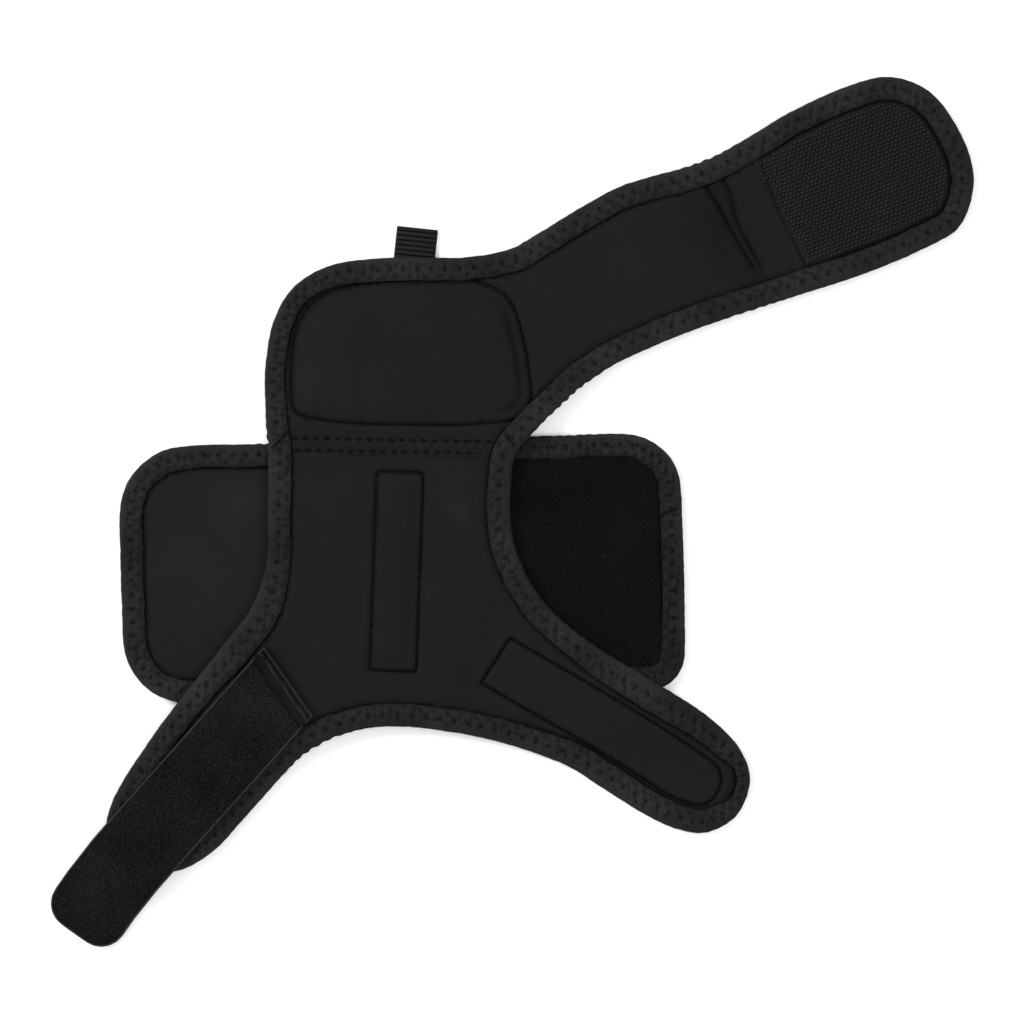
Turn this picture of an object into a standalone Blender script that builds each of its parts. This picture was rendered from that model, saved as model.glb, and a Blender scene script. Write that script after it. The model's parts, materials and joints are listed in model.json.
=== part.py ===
"""A wrist guard laid open and flat, skin side up.

Metres, +Z up. Soft panels are flat plates; each fold has a small gap between its plates.
Plan points are on a drawing grid that is stretched to the two overall sizes. So are
BAND_SIZE, LOOP_STRAP_WIDTH, HOOK_TAPE_WIDTH and WING_PATCH_SIZE; other lengths are in metres.
"""

import math

import bmesh
import bpy
from mathutils import Vector

# ---- overall sizes
GUARD_LENGTH = 0.337
GUARD_HEIGHT = 0.318
GRID_LENGTH = 337.0
GRID_HEIGHT = 318.0

# ---- fabric thicknesses and clearances
GAP = 0.0003
FOLD_GAP = 0.0008
PANEL_THICK = 0.0028
TAPE_THICK = 0.0009
BINDING_PROUD = 0.0006
BINDING_WIDTH = 0.0084
PILE_THICK = 0.0009
PATCH_THICK = 0.0012
STRAP_THICK = 0.0018

# ---- wrist band
BAND_SIZE = (203.0, 94.0)
BAND_TURN = math.radians(1.6)
BAND_CENTRE = (-39.8, -20.6)
BAND_RADII = (0.0240, 0.0200, 0.0130, 0.0230)
BAND_BULGE = 0.0012

# ---- loop strap, pull tab, stay, pad and tapes
LOOP_STRAP_WIDTH = 30.0
LOOP_STRAP_RADIUS = 0.0095
SEWN_LENGTH = 0.0120
TAB_WIDTH = 0.0150
TAB_THICK = 0.0016
TAB_REACH = 0.0110
TAB_HOLD = 0.0010
SLEEVE_WIDTH = 0.0170
SLEEVE_HEM = 0.0020
SLEEVE_RISE = 0.0026
SLEEVE_SKIN = 0.0008
SLEEVE_CORNER = 0.0015
PAD_HEM = 0.0030
PAD_SLOPE = 0.0050
PAD_RISE = 0.0034
PAD_SKIN = 0.0010
SEAM_TAPE_WIDTH = 0.0084
SEAM_TAPE_THICK = 0.0006
HOOK_TAPE_WIDTH = 20.0
HOOK_TAPE_RADIUS = 0.0085
TAPE_MARGIN = 0.0012
WING_PATCH_SIZE = (16.0, 50.0)
WING_PATCH_RADIUS = 0.0030

# ---- curve sampling
CURVE_STEPS = 24
MAX_TURN = math.radians(9.0)
MAX_STEP = 0.014
ARC_STEPS = 5
TIP_CLEAR = 1.5
TRUE_SHARE = 0.999
TOUCH = 1e-7
FAR = 1.0

# ---- the outer edge of the bound body, clockwise from the seam's left end
BODY_EDGE = [
    (-88.3, 22.0), (-89.9, 49.0), (-86.6, 70.0), (-79.0, 82.5), (-66.0, 90.0),
    (-44.0, 92.8), (-18.7, 92.8), (0.5, 96.4), (20.3, 108.2), (40.5, 119.2),
    (57.1, 124.0), (73.0, 129.3), (103.0, 146.6), (121.5, 155.0), (137.0, 158.8),
    (151.5, 154.0), (163.0, 139.5), (168.5, 121.5), (163.5, 104.5), (148.9, 95.5),
    (124.0, 85.3), (98.4, 77.2), (61.7, 64.6), (34.5, 52.0), (17.5, 38.8),
    (8.0, 28.5), (1.8, 21.5), (-0.4, 8.0), (0.4, -9.0), (5.0, -22.0),
    (14.0, -35.0), (29.0, -47.5), (54.7, -63.2), (73.5, -75.8), (84.0, -87.5),
    (87.0, -98.0), (82.0, -110.5), (70.5, -116.8), (57.0, -114.2), (38.5, -104.0),
    (22.5, -93.5), (7.2, -87.2), (-13.4, -81.4), (-41.6, -77.8), (-60.0, -80.2),
    (-76.0, -88.6), (-95.0, -108.9), (-110.5, -124.9), (-124.0, -131.2), (-139.0, -128.5),
    (-147.5, -118.0), (-145.5, -105.5), (-132.0, -83.5), (-108.2, -52.6), (-94.8, -35.0),
    (-88.9, -18.0), (-88.5, 0.0),
]

# ---- the pad's stitch line
PAD_EDGE = [
    (-80.4, 48.0), (-79.0, 65.0), (-70.5, 78.6), (-56.0, 83.6), (-35.0, 84.2),
    (-12.0, 83.8), (-1.5, 78.0), (4.2, 63.0), (6.6, 45.0), (5.6, 34.2),
    (-4.0, 32.8), (-35.0, 32.0), (-66.0, 33.4), (-78.2, 36.6),
]

# ---- lines across the body and the band: past a fold, the loose side is on the line's right
SEAM = ((-78.0, 25.9), (-7.0, 23.6))
HAND_FOLD = ((16.8, 35.7), (5.4, 98.1))
TIP_FOLD = ((91.8, 75.3), (72.0, 127.5))
HOOK_LINE = ((106.7, 89.9), (87.8, 127.9))
LEFT_ARM_FOLD = ((-91.3, -32.8), (-60.1, -76.6))
RIGHT_ARM_FOLD = ((-22.8, -80.1), (3.6, -20.7))
LEFT_WING_FOLD = ((-93.0, 23.7), (-124.8, -68.7))
RIGHT_WING_FOLD = ((56.4, -64.5), (13.2, 29.1))
PILE_START = ((-14.0, -60.0), (-14.0, 40.0))
TAPE_START = ((-11.9, -62.7), (0.3, -43.8))

# ---- centre lines and places
LOOP_STRAP_PATH = [(-70.0, -49.0), (-106.0, -89.4), (-135.4, -122.3), (-146.3, -135.0), (-159.6, -153.6)]
LOOP_STRAP_END = ((-89.3, -48.1), (-71.9, -73.0))
HOOK_TAPE_PATH = [(-15.0, -48.4), (5.0, -60.0), (30.0, -74.5), (52.0, -88.0), (74.2, -103.2)]
SLEEVE_TOP = (-40.4, 14.85)
SLEEVE_BOTTOM = (-43.0, -57.6)
TAB_ROOT = (-35.4, 92.8)
TAB_LEAN = math.radians(6.0)
WING_PATCH_CENTRE = (-125.0, -17.0)

# ---- a grid point in each piece that is kept when a ring or plate is cut up
IN_UPPER = (-40.0, 60.0)
IN_HAND_STRAP = (50.0, 90.0)
IN_STRAP_TIP = (130.0, 120.0)
IN_LOWER = (-40.0, -30.0)
IN_LEFT_ARM = (-115.0, -95.0)
IN_RIGHT_ARM = (40.0, -75.0)
IN_SEAM = (-40.0, 25.0)
IN_LOOSE_STRAP = (-150.0, -140.0)
IN_BAND = (-40.0, -20.0)
IN_LEFT_WING = (-130.0, -10.0)
IN_RIGHT_WING = (50.0, 0.0)
IN_CENTRE_PILE = (5.0, 0.0)

# ---- levels, from the floor up
BAND_TOP = PANEL_THICK + BINDING_PROUD
PILE_BASE = PANEL_THICK + GAP
PILE_TOP = PILE_BASE + PILE_THICK
BODY_BASE = PILE_TOP + GAP
BODY_FACE = BODY_BASE + PANEL_THICK
BODY_TOP = BODY_FACE + BINDING_PROUD
PATCH_BASE = BODY_FACE + GAP
STRAP_BASE = BODY_TOP + GAP
TAB_TOP = BODY_BASE - GAP

# ---- colours and surface roughness of each kind of piece
NEOPRENE = ((0.016, 0.016, 0.016), 0.85)
BINDING = ((0.026, 0.026, 0.026), 0.80)
PILE = ((0.006, 0.006, 0.006), 1.0)
HOOKS = ((0.030, 0.030, 0.030), 0.55)
WEBBING = ((0.040, 0.040, 0.040), 0.70)
FOAM = ((0.050, 0.050, 0.055), 0.90)
STAY = ((0.080, 0.080, 0.085), 0.50)


# ---- plan geometry

def plan(point):
    """A drawing grid point in metres."""
    return Vector((point[0] * GUARD_LENGTH / GRID_LENGTH, point[1] * GUARD_HEIGHT / GRID_HEIGHT))


def across_plan(length):
    """A drawing grid length in metres, by the mean stretch of the two overall sizes."""
    unit = plan((1.0, 1.0))
    return length * math.sqrt(unit.x * unit.y)


def plan_line(line):
    return plan(line[0]), plan(line[1])


def spline_point(p0, p1, p2, p3, u):
    """A point between p1 and p2 on the centripetal curve through all four."""
    knots = [0.0]
    for a, b in ((p0, p1), (p1, p2), (p2, p3)):
        knots.append(knots[-1] + math.sqrt((b - a).length))
    t = knots[1] + (knots[2] - knots[1]) * u
    level = [p0, p1, p2, p3]
    for width in (1, 2, 3):
        level = [
            blend_points(level[i], level[i + 1], *span(knots, i, width, t))
            for i in range(len(level) - 1)
        ]
    return level[0]


def span(knots, i, width, t):
    """The stretch of knots that a step of the curve mixes over."""
    if width == 3:
        return knots[1], knots[2], t
    return knots[i], knots[i + width], t


def blend_points(a, b, start, end, t):
    return a + (b - a) * ((t - start) / (end - start))


def smooth_points(points, closed):
    """A dense smooth curve through the points."""
    dense = []
    count = len(points)
    if closed:
        for i in range(count):
            around = [points[(i + k) % count] for k in (-1, 0, 1, 2)]
            dense += [spline_point(*around, s / CURVE_STEPS) for s in range(CURVE_STEPS)]
        return dense
    ends = [points[0] * 2 - points[1]] + points + [points[-1] * 2 - points[-2]]
    for i in range(count - 1):
        dense += [spline_point(*ends[i:i + 4], s / CURVE_STEPS) for s in range(CURVE_STEPS)]
    return dense + [points[-1]]


def thin(dense):
    """Fewer points: one wherever the curve has turned or run far enough."""
    kept = [dense[0]]
    heading = dense[1] - dense[0]
    for i in range(1, len(dense) - 1):
        step = dense[i + 1] - dense[i]
        turned = heading.angle(step)
        if turned > MAX_TURN or (dense[i] - kept[-1]).length > MAX_STEP:
            kept.append(dense[i])
            heading = step
    return kept


def smooth_loop(points):
    return thin(smooth_points([plan(p) for p in points], True))


def inset(loop, distance):
    """The loop moved inwards by distance. The loop runs clockwise."""
    moved = []
    for i, here in enumerate(loop):
        back = (here - loop[i - 1]).normalized()
        ahead = (loop[(i + 1) % len(loop)] - here).normalized()
        inward = Vector((back.y + ahead.y, -back.x - ahead.x)).normalized()
        half = math.cos(back.angle(ahead) / 2)
        moved.append(here + inward * (distance / half))
    return unfolded(moved, loop, distance)


def unfolded(moved, edge, distance):
    """The moved loop, with each stretch that a tight bend has folded over drawn straight."""
    count = len(moved)
    true = [i for i, p in enumerate(moved) if (p - nearest_on_loop(p, edge)).length > distance * TRUE_SHARE]
    for here, ahead in zip(true, true[1:] + [true[0] + count]):
        for k in range(here + 1, ahead):
            moved[k % count] = moved[here].lerp(moved[ahead % count], (k - here) / (ahead - here))
    return moved


def keep_inside(loop, edge, margin):
    """The loop with every point at least margin inside the edge."""
    moved = []
    for point in loop:
        near = nearest_on_loop(point, edge)
        away = point - near
        if away.length < margin:
            point = near + away.normalized() * margin
        moved.append(point)
    return moved


def nearest_on_loop(point, edge):
    rim = [nearest_on(point, edge[i - 1], edge[i]) for i in range(len(edge))]
    return min(rim, key=lambda n: (point - n).length)


def nearest_on(point, a, b):
    along = b - a
    share = (point - a).dot(along) / along.length_squared
    return a + along * min(max(share, 0.0), 1.0)


def rounded_rectangle(length, height, radii, turn, centre, bulge=0.0, step=FAR):
    """A clockwise rounded rectangle whose short sides bow out by bulge. The radii start top left."""
    corners = []
    signs = ((-1, 1, math.pi), (1, 1, math.pi / 2), (1, -1, 0.0), (-1, -1, -math.pi / 2))
    for radius, (sx, sy, start) in zip(radii, signs):
        for k in range(ARC_STEPS + 1):
            angle = start - math.pi / 2 * k / ARC_STEPS
            x = sx * (length / 2 - radius) + radius * math.cos(angle)
            y = sy * (height / 2 - radius) + radius * math.sin(angle)
            corners.append(Vector((x, y)))
    loop = []
    for i, here in enumerate(corners):
        ahead = corners[(i + 1) % len(corners)]
        pieces = max(1, math.ceil((ahead - here).length / step))
        loop += [here.lerp(ahead, k / pieces) for k in range(pieces)]
    half = height / 2
    bowed = [Vector((p.x + math.copysign(bulge * (1 - (p.y / half) ** 2), p.x), p.y)) for p in loop]
    cos, sin = math.cos(turn), math.sin(turn)
    return [centre + Vector((p.x * cos - p.y * sin, p.x * sin + p.y * cos)) for p in bowed]


def ribbon(path, width, radius):
    """A clockwise outline of a strap along the path with a round-cornered far end."""
    centre = thin(smooth_points([plan(p) for p in path], False))
    centre.append(plan(path[-1]))
    ahead = (centre[-1] - centre[-2]).normalized()
    side = Vector((ahead.y, -ahead.x))
    end = centre[-1]
    centre = [p for p in centre if (p - end).length > radius * TIP_CLEAR]
    right, left = [], []
    for i, here in enumerate(centre):
        way = (centre[i + 1] - here if i + 1 < len(centre) else end - here).normalized()
        across = Vector((way.y, -way.x)) * width / 2
        right.append(here + across)
        left.append(here - across)
    tip = []
    for sign, start in ((-1, 0), (1, 1)):
        middle = end - ahead * radius + side * sign * (width / 2 - radius)
        for k in range(ARC_STEPS + 1):
            angle = math.pi / 2 * (k / ARC_STEPS if start else 1 - k / ARC_STEPS)
            tip.append(middle + ahead * radius * math.cos(angle) + side * sign * radius * math.sin(angle))
    return left + tip + right[::-1]


# ---- solids

def stack(rings, closed=False):
    """A solid through rings of equal point counts, each at its own level."""
    bm = bmesh.new()
    layers = [[bm.verts.new((p.x, p.y, z)) for p in loop] for loop, z in rings]
    pairs = list(zip(layers, layers[1:]))
    if closed:
        pairs.append((layers[-1], layers[0]))
    else:
        bm.faces.new(layers[0])
        bm.faces.new(layers[-1])
    for low, high in pairs:
        for i in range(len(low)):
            bm.faces.new((low[i - 1], low[i], high[i], high[i - 1]))
    bmesh.ops.recalc_face_normals(bm, faces=bm.faces)
    return bm


def slab(loop, base, top):
    return stack([(loop, base), (loop, top)])


def panel_plate(edge, base):
    """A panel with a thin rim all round that sits inside the binding."""
    rim = inset(edge, TAPE_THICK + GAP)
    step = inset(edge, BINDING_WIDTH + GAP)
    low = base + TAPE_THICK + GAP
    high = base + PANEL_THICK + BINDING_PROUD - TAPE_THICK - GAP
    return stack([
        (step, base), (step, low), (rim, low), (rim, high), (step, high), (step, base + PANEL_THICK)])


def binding_ring(edge, base):
    """Binding tape folded over a panel's edge all the way round."""
    top = base + PANEL_THICK + BINDING_PROUD
    wall = inset(edge, TAPE_THICK)
    lip = inset(edge, BINDING_WIDTH)
    profile = [
        (edge, base), (edge, top), (lip, top), (lip, top - TAPE_THICK),
        (wall, top - TAPE_THICK), (wall, base + TAPE_THICK), (lip, base + TAPE_THICK), (lip, base),
    ]
    return stack(profile, closed=True)


def cut(bm, line, keep_left, clearance):
    """Keep one side of an upright plane through the line, less a clearance, and close the cut."""
    a, b = line
    way = (b - a).normalized()
    left = Vector((-way.y, way.x))
    into = left if keep_left else -left
    start = a + into * clearance
    everything = bm.verts[:] + bm.edges[:] + bm.faces[:]
    bmesh.ops.bisect_plane(
        bm, geom=everything, dist=TOUCH, clear_outer=True,
        plane_co=(start.x, start.y, 0.0), plane_no=(-into.x, -into.y, 0.0))
    bmesh.ops.holes_fill(bm, edges=[e for e in bm.edges if e.is_boundary], sides=0)


def keep_island(bm, near):
    """Keep the connected part of bm that comes nearest to a plan point."""
    target = plan(near)
    left_over = set(bm.verts)
    islands = []
    while left_over:
        seed = left_over.pop()
        island, edge = {seed}, [seed]
        while edge:
            vert = edge.pop()
            for e in vert.link_edges:
                other = e.other_vert(vert)
                if other in left_over:
                    left_over.discard(other)
                    island.add(other)
                    edge.append(other)
        islands.append(island)
    best = min(islands, key=lambda group: min((v.co.xy - target).length for v in group))
    bmesh.ops.delete(bm, geom=[v for v in bm.verts if v not in best], context="VERTS")


def combine(bm, tool_bm, operation):
    """The two solids joined by an exact boolean. Both of them are used up."""
    body = scratch_object("boolean_body", bm)
    tool = scratch_object("boolean_tool", tool_bm)
    tool.hide_render = True
    tool.display_type = "WIRE"
    modifier = body.modifiers.new("boolean", "BOOLEAN")
    modifier.operation = operation
    modifier.solver = "EXACT"
    modifier.object = tool
    bpy.context.view_layer.update()
    evaluated = body.evaluated_get(bpy.context.evaluated_depsgraph_get())
    made = bmesh.new()
    made.from_mesh(evaluated.to_mesh())
    for obj in (body, tool):
        bpy.data.objects.remove(obj, do_unlink=True)
    return made


def scratch_object(name, bm):
    mesh = bpy.data.meshes.new(name)
    bm.to_mesh(mesh)
    bm.free()
    obj = bpy.data.objects.new(name, mesh)
    bpy.context.collection.objects.link(obj)
    return obj


def shell_cover(outer, base, rise, hem, slope, skin):
    """A sewn cover with a raised middle over an open-bottomed pocket. Returns it and its filling."""
    foot = base + skin
    top = base + rise
    hem_loop = inset(outer, hem)
    crown = inset(outer, hem + slope)
    pocket_wall = inset(outer, hem + slope + GAP)
    ceiling = top - skin
    cover = stack([
        (crown, top), (hem_loop, foot), (outer, foot), (outer, base),
        (pocket_wall, base), (pocket_wall, ceiling)])
    filling = slab(inset(outer, hem + slope + GAP * 2), base, ceiling - GAP)
    return cover, filling


def add(name, bm, look, origin=None):
    """A named object with its own material; its origin is on its joint's axis if it has one."""
    at = Vector(origin) if origin else Vector((0.0, 0.0, 0.0))
    bmesh.ops.translate(bm, verts=bm.verts, vec=-at)
    bmesh.ops.recalc_face_normals(bm, faces=bm.faces)
    mesh = bpy.data.meshes.new(name)
    bm.to_mesh(mesh)
    bm.free()
    obj = bpy.data.objects.new(name, mesh)
    obj.location = at
    bpy.context.collection.objects.link(obj)
    colour, roughness = look
    material = bpy.data.materials.new(name)
    material.use_nodes = True
    shader = material.node_tree.nodes["Principled BSDF"]
    shader.inputs["Base Color"].default_value = (*colour, 1.0)
    shader.inputs["Roughness"].default_value = roughness
    mesh.materials.append(material)
    return obj


def hinge_point(line, level):
    middle = (plan(line[0]) + plan(line[1])) / 2
    return middle.x, middle.y, level


def cut_out(bm, cuts, near):
    """Apply every (line, keep_left, clearance) cut, then keep the island near a grid point."""
    for line, keep_left, clearance in cuts:
        cut(bm, plan_line(line), keep_left, clearance)
    keep_island(bm, near)
    return bm


FOLD = FOLD_GAP / 2
SEWN = GAP / 2
UPPER = [(SEAM, True, SEWN)]
LOWER = [(SEAM, False, SEWN)]
UPPER_CORE = UPPER + [(HAND_FOLD, True, FOLD)]
STRAP_ROOT = UPPER + [(HAND_FOLD, False, FOLD), (TIP_FOLD, True, FOLD)]
STRAP_TIP = UPPER + [(TIP_FOLD, False, FOLD)]
LOWER_CORE = LOWER + [(LEFT_ARM_FOLD, True, FOLD), (RIGHT_ARM_FOLD, True, FOLD)]
LEFT_ARM = LOWER + [(LEFT_ARM_FOLD, False, FOLD)]
RIGHT_ARM = LOWER + [(RIGHT_ARM_FOLD, False, FOLD)]
BAND_CORE = [(LEFT_WING_FOLD, True, FOLD), (RIGHT_WING_FOLD, True, FOLD)]
LEFT_WING = [(LEFT_WING_FOLD, False, FOLD)]
RIGHT_WING = [(RIGHT_WING_FOLD, False, FOLD)]

HAND_HINGE = hinge_point(HAND_FOLD, BODY_TOP)
TIP_HINGE = hinge_point(TIP_FOLD, BODY_TOP)
LEFT_ARM_HINGE = hinge_point(LEFT_ARM_FOLD, BODY_TOP)
RIGHT_ARM_HINGE = hinge_point(RIGHT_ARM_FOLD, BODY_TOP)
LEFT_WING_HINGE = hinge_point(LEFT_WING_FOLD, BAND_TOP)
RIGHT_WING_HINGE = hinge_point(RIGHT_WING_FOLD, PILE_TOP)


def build_body_panels(edge):
    pieces = [
        ("upper_panel", UPPER_CORE, IN_UPPER, None),
        ("hand_strap_panel", STRAP_ROOT, IN_HAND_STRAP, HAND_HINGE),
        ("strap_tip_panel", STRAP_TIP, IN_STRAP_TIP, TIP_HINGE),
        ("lower_panel", LOWER_CORE, IN_LOWER, None),
        ("left_arm_panel", LEFT_ARM, IN_LEFT_ARM, LEFT_ARM_HINGE),
    ]
    for name, cuts, near, origin in pieces:
        add(name, cut_out(panel_plate(edge, BODY_BASE), cuts, near), NEOPRENE, origin)
    arm = cut_out(panel_plate(edge, BODY_BASE), RIGHT_ARM, IN_RIGHT_ARM)
    depth = PATCH_THICK + GAP
    pocket = hook_tape_solid(edge, 0.0, BODY_BASE - depth, BODY_BASE + depth)
    add("right_arm_panel", combine(arm, pocket, "DIFFERENCE"), NEOPRENE, RIGHT_ARM_HINGE)


def build_body_bindings(edge):
    pieces = [
        ("upper_binding", UPPER_CORE, (-88, 60), None),
        ("upper_corner_binding", UPPER_CORE, (10, 30), None),
        ("hand_strap_top_binding", STRAP_ROOT, (41, 118), HAND_HINGE),
        ("hand_strap_bottom_binding", STRAP_ROOT, (50, 60), HAND_HINGE),
        ("strap_tip_binding", STRAP_TIP, (168, 122), TIP_HINGE),
        ("waist_left_binding", LOWER_CORE, (-88, 0), None),
        ("waist_right_binding", LOWER_CORE, (0, 0), None),
        ("crotch_binding", LOWER_CORE, (-41, -78), None),
        ("left_arm_binding", LEFT_ARM, (-145, -105), LEFT_ARM_HINGE),
        ("right_arm_binding", RIGHT_ARM, (87, -98), RIGHT_ARM_HINGE),
    ]
    for name, cuts, near, origin in pieces:
        add(name, cut_out(binding_ring(edge, BODY_BASE), cuts, near), BINDING, origin)


def build_hand_patch(edge):
    loop = inset(edge, BINDING_WIDTH + GAP * 2)
    patch = slab(loop, PATCH_BASE, PATCH_BASE + PATCH_THICK)
    add("hand_hook_patch", cut_out(patch, UPPER + [(HOOK_LINE, False, 0.0)], IN_STRAP_TIP), HOOKS, TIP_HINGE)


def build_seam_tape(edge):
    tape = slab(inset(edge, BINDING_WIDTH + GAP * 2), PATCH_BASE, PATCH_BASE + SEAM_TAPE_THICK)
    cuts = [(SEAM, True, -SEAM_TAPE_WIDTH / 2), (SEAM, False, -SEAM_TAPE_WIDTH / 2), (HAND_FOLD, True, FOLD)]
    add("seam_tape", cut_out(tape, cuts, IN_SEAM), BINDING)


def build_pad(edge):
    """The stitched pad pocket and its foam, kept clear of the binding and of the seam tape."""
    outer = keep_inside(smooth_loop(PAD_EDGE), edge, BINDING_WIDTH + GAP * 2)
    foot, way = plan(SEAM[0]), (plan(SEAM[1]) - plan(SEAM[0])).normalized()
    above = Vector((-way.y, way.x))
    reach = SEAM_TAPE_WIDTH / 2 + GAP * 2
    raised = [p + above * max(0.0, reach - (p - foot).dot(above)) for p in outer]
    cover, foam = shell_cover(raised, PATCH_BASE, PAD_RISE, PAD_HEM, PAD_SLOPE, PAD_SKIN)
    add("pad_cover", cover, NEOPRENE)
    add("pad_foam", foam, FOAM)


def build_stay():
    """The sewn sleeve down the middle of the lower panel and the stay inside it."""
    top, bottom = plan(SLEEVE_TOP), plan(SLEEVE_BOTTOM)
    turn = math.atan2((top - bottom).y, (top - bottom).x) - math.pi / 2
    centre = (top + bottom) / 2
    corners = [SLEEVE_CORNER] * 4
    outer, crown, inner, stay = [
        rounded_rectangle(SLEEVE_WIDTH - less * 2, (top - bottom).length - less * 2, corners, turn, centre)
        for less in (0.0, SLEEVE_HEM / 2, SLEEVE_HEM, SLEEVE_HEM + GAP)]
    top_level = PATCH_BASE + SLEEVE_RISE
    ceiling = top_level - SLEEVE_SKIN
    sleeve = stack([
        (crown, top_level), (outer, PATCH_BASE + SLEEVE_SKIN), (outer, PATCH_BASE),
        (inner, PATCH_BASE), (inner, ceiling)])
    add("stay_sleeve", sleeve, NEOPRENE)
    add("stay", slab(stay, PATCH_BASE, ceiling - GAP), STAY)


def build_loop_strap():
    loop = ribbon(LOOP_STRAP_PATH, across_plan(LOOP_STRAP_WIDTH), LOOP_STRAP_RADIUS)
    top = STRAP_BASE + STRAP_THICK
    sewn = slab(loop, STRAP_BASE, top)
    cuts = [(LOOP_STRAP_END, False, 0.0), (LOOP_STRAP_END, True, -SEWN_LENGTH + FOLD)]
    add("loop_strap_sewn_end", cut_out(sewn, cuts, LOOP_STRAP_END[0]), PILE, LEFT_ARM_HINGE)
    cuts = [(LOOP_STRAP_END, False, SEWN_LENGTH + FOLD)]
    free = cut_out(slab(loop, STRAP_BASE, top), cuts, IN_LOOSE_STRAP)
    start, end = plan_line(LOOP_STRAP_END)
    way = (end - start).normalized()
    at = (start + end) / 2 + Vector((way.y, -way.x)) * SEWN_LENGTH
    add("loop_strap", free, PILE, (at.x, at.y, top))


def hook_tape_solid(edge, margin, base, top):
    """The hook tape's space on the right arm, kept clear of the binding, less a margin."""
    width = across_plan(HOOK_TAPE_WIDTH) - margin * 2
    outline = ribbon(HOOK_TAPE_PATH, width, HOOK_TAPE_RADIUS - margin)
    trimmed = slab(clip_loop(outline, plan_line(TAPE_START), margin), base, top)
    room = inset(edge, BINDING_WIDTH + GAP + TAPE_MARGIN + margin)
    arm = cut_out(slab(room, base - PANEL_THICK, top + PANEL_THICK), RIGHT_ARM, IN_RIGHT_ARM)
    return combine(trimmed, arm, "INTERSECT")


def clip_loop(loop, line, clearance):
    """The part of a plan loop on the right of a line, less a clearance."""
    way = (line[1] - line[0]).normalized()
    right = Vector((way.y, -way.x))
    start = line[0] + right * clearance
    kept = []
    for i, here in enumerate(loop):
        ahead = loop[(i + 1) % len(loop)]
        a, b = (here - start).dot(right), (ahead - start).dot(right)
        if a >= 0.0:
            kept.append(here)
        if a * b < 0.0:
            kept.append(here.lerp(ahead, a / (a - b)))
    return kept


def build_hook_tape(edge):
    tape = hook_tape_solid(edge, GAP, BODY_BASE, BODY_BASE + PATCH_THICK)
    add("right_arm_hook_tape", tape, HOOKS, RIGHT_ARM_HINGE)


def build_pull_tab():
    """A webbing tab: its sewn end lies under the upper panel, its free end sticks out."""
    root = plan(TAB_ROOT)
    along = Vector((math.sin(TAB_LEAN), math.cos(TAB_LEAN)))
    across = Vector((along.y, -along.x)) * TAB_WIDTH / 2
    hinge = root + along * FOLD_GAP
    base = TAB_TOP - TAB_THICK
    for name, low, high, origin in (
            ("pull_tab_sewn_end", -BINDING_WIDTH - TAB_HOLD, 0.0, None),
            ("pull_tab", FOLD_GAP * 2, TAB_REACH, (hinge.x, hinge.y, TAB_TOP))):
        near, far = root + along * low, root + along * high
        length = slab([near - across, far - across, far + across, near + across], base, TAB_TOP)
        add(name, length, WEBBING, origin)


def build_band():
    """The wide wrist band behind the body: two wings, a centre, its binding, pile and hooks."""
    length, height = plan(BAND_SIZE)
    edge = rounded_rectangle(
        length, height, BAND_RADII, BAND_TURN, plan(BAND_CENTRE), BAND_BULGE, MAX_STEP)
    add("band_centre_panel", cut_out(panel_plate(edge, 0.0), BAND_CORE, IN_BAND), NEOPRENE)
    wing = cut_out(panel_plate(edge, 0.0), LEFT_WING, IN_LEFT_WING)
    depth = PATCH_THICK + GAP
    pocket = slab(wing_patch_loop(edge, 0.0), -depth, depth)
    add("left_wing_panel", combine(wing, pocket, "DIFFERENCE"), NEOPRENE, LEFT_WING_HINGE)
    patch = slab(wing_patch_loop(edge, GAP), 0.0, PATCH_THICK)
    add("left_wing_hook_patch", patch, HOOKS, LEFT_WING_HINGE)
    right_wing = cut_out(panel_plate(edge, 0.0), RIGHT_WING, IN_RIGHT_WING)
    add("right_wing_panel", right_wing, NEOPRENE, RIGHT_WING_HINGE)
    pieces = [
        ("band_top_binding", BAND_CORE, (-40, 26), None),
        ("band_bottom_binding", BAND_CORE, (-40, -67), None),
        ("left_wing_binding", LEFT_WING, (-143, -10), LEFT_WING_HINGE),
        ("right_wing_binding", RIGHT_WING, (62, 0), RIGHT_WING_HINGE),
    ]
    for name, cuts, near, origin in pieces:
        add(name, cut_out(binding_ring(edge, 0.0), cuts, near), BINDING, origin)
    pile_loop = inset(edge, BINDING_WIDTH + GAP * 2)
    pile = slab(pile_loop, PILE_BASE, PILE_TOP)
    add("centre_loop_pile", cut_out(pile, [(PILE_START, False, 0.0)] + BAND_CORE[1:], IN_CENTRE_PILE), PILE)
    pile = slab(pile_loop, PILE_BASE, PILE_TOP)
    add("right_wing_loop_pile", cut_out(pile, RIGHT_WING, IN_RIGHT_WING), PILE, RIGHT_WING_HINGE)


def wing_patch_loop(edge, margin):
    """The hidden hook patch's outline on the left wing, less a margin."""
    width, length = plan(WING_PATCH_SIZE)
    corners = [WING_PATCH_RADIUS - margin] * 4
    loop = rounded_rectangle(
        width - margin * 2, length - margin * 2, corners, BAND_TURN, plan(WING_PATCH_CENTRE))
    return keep_inside(loop, edge, BINDING_WIDTH + GAP + margin)


def recentre():
    """Move every piece so that the guard's box is centred over the origin, on the floor."""
    bpy.context.view_layer.update()
    objects = list(bpy.context.scene.objects)
    corners = [o.matrix_world @ v.co for o in objects for v in o.data.vertices]
    low = [min(c[k] for c in corners) for k in range(3)]
    high = [max(c[k] for c in corners) for k in range(3)]
    shift = Vector((-(low[0] + high[0]) / 2, -(low[1] + high[1]) / 2, -low[2]))
    for obj in objects:
        obj.location += shift


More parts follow.
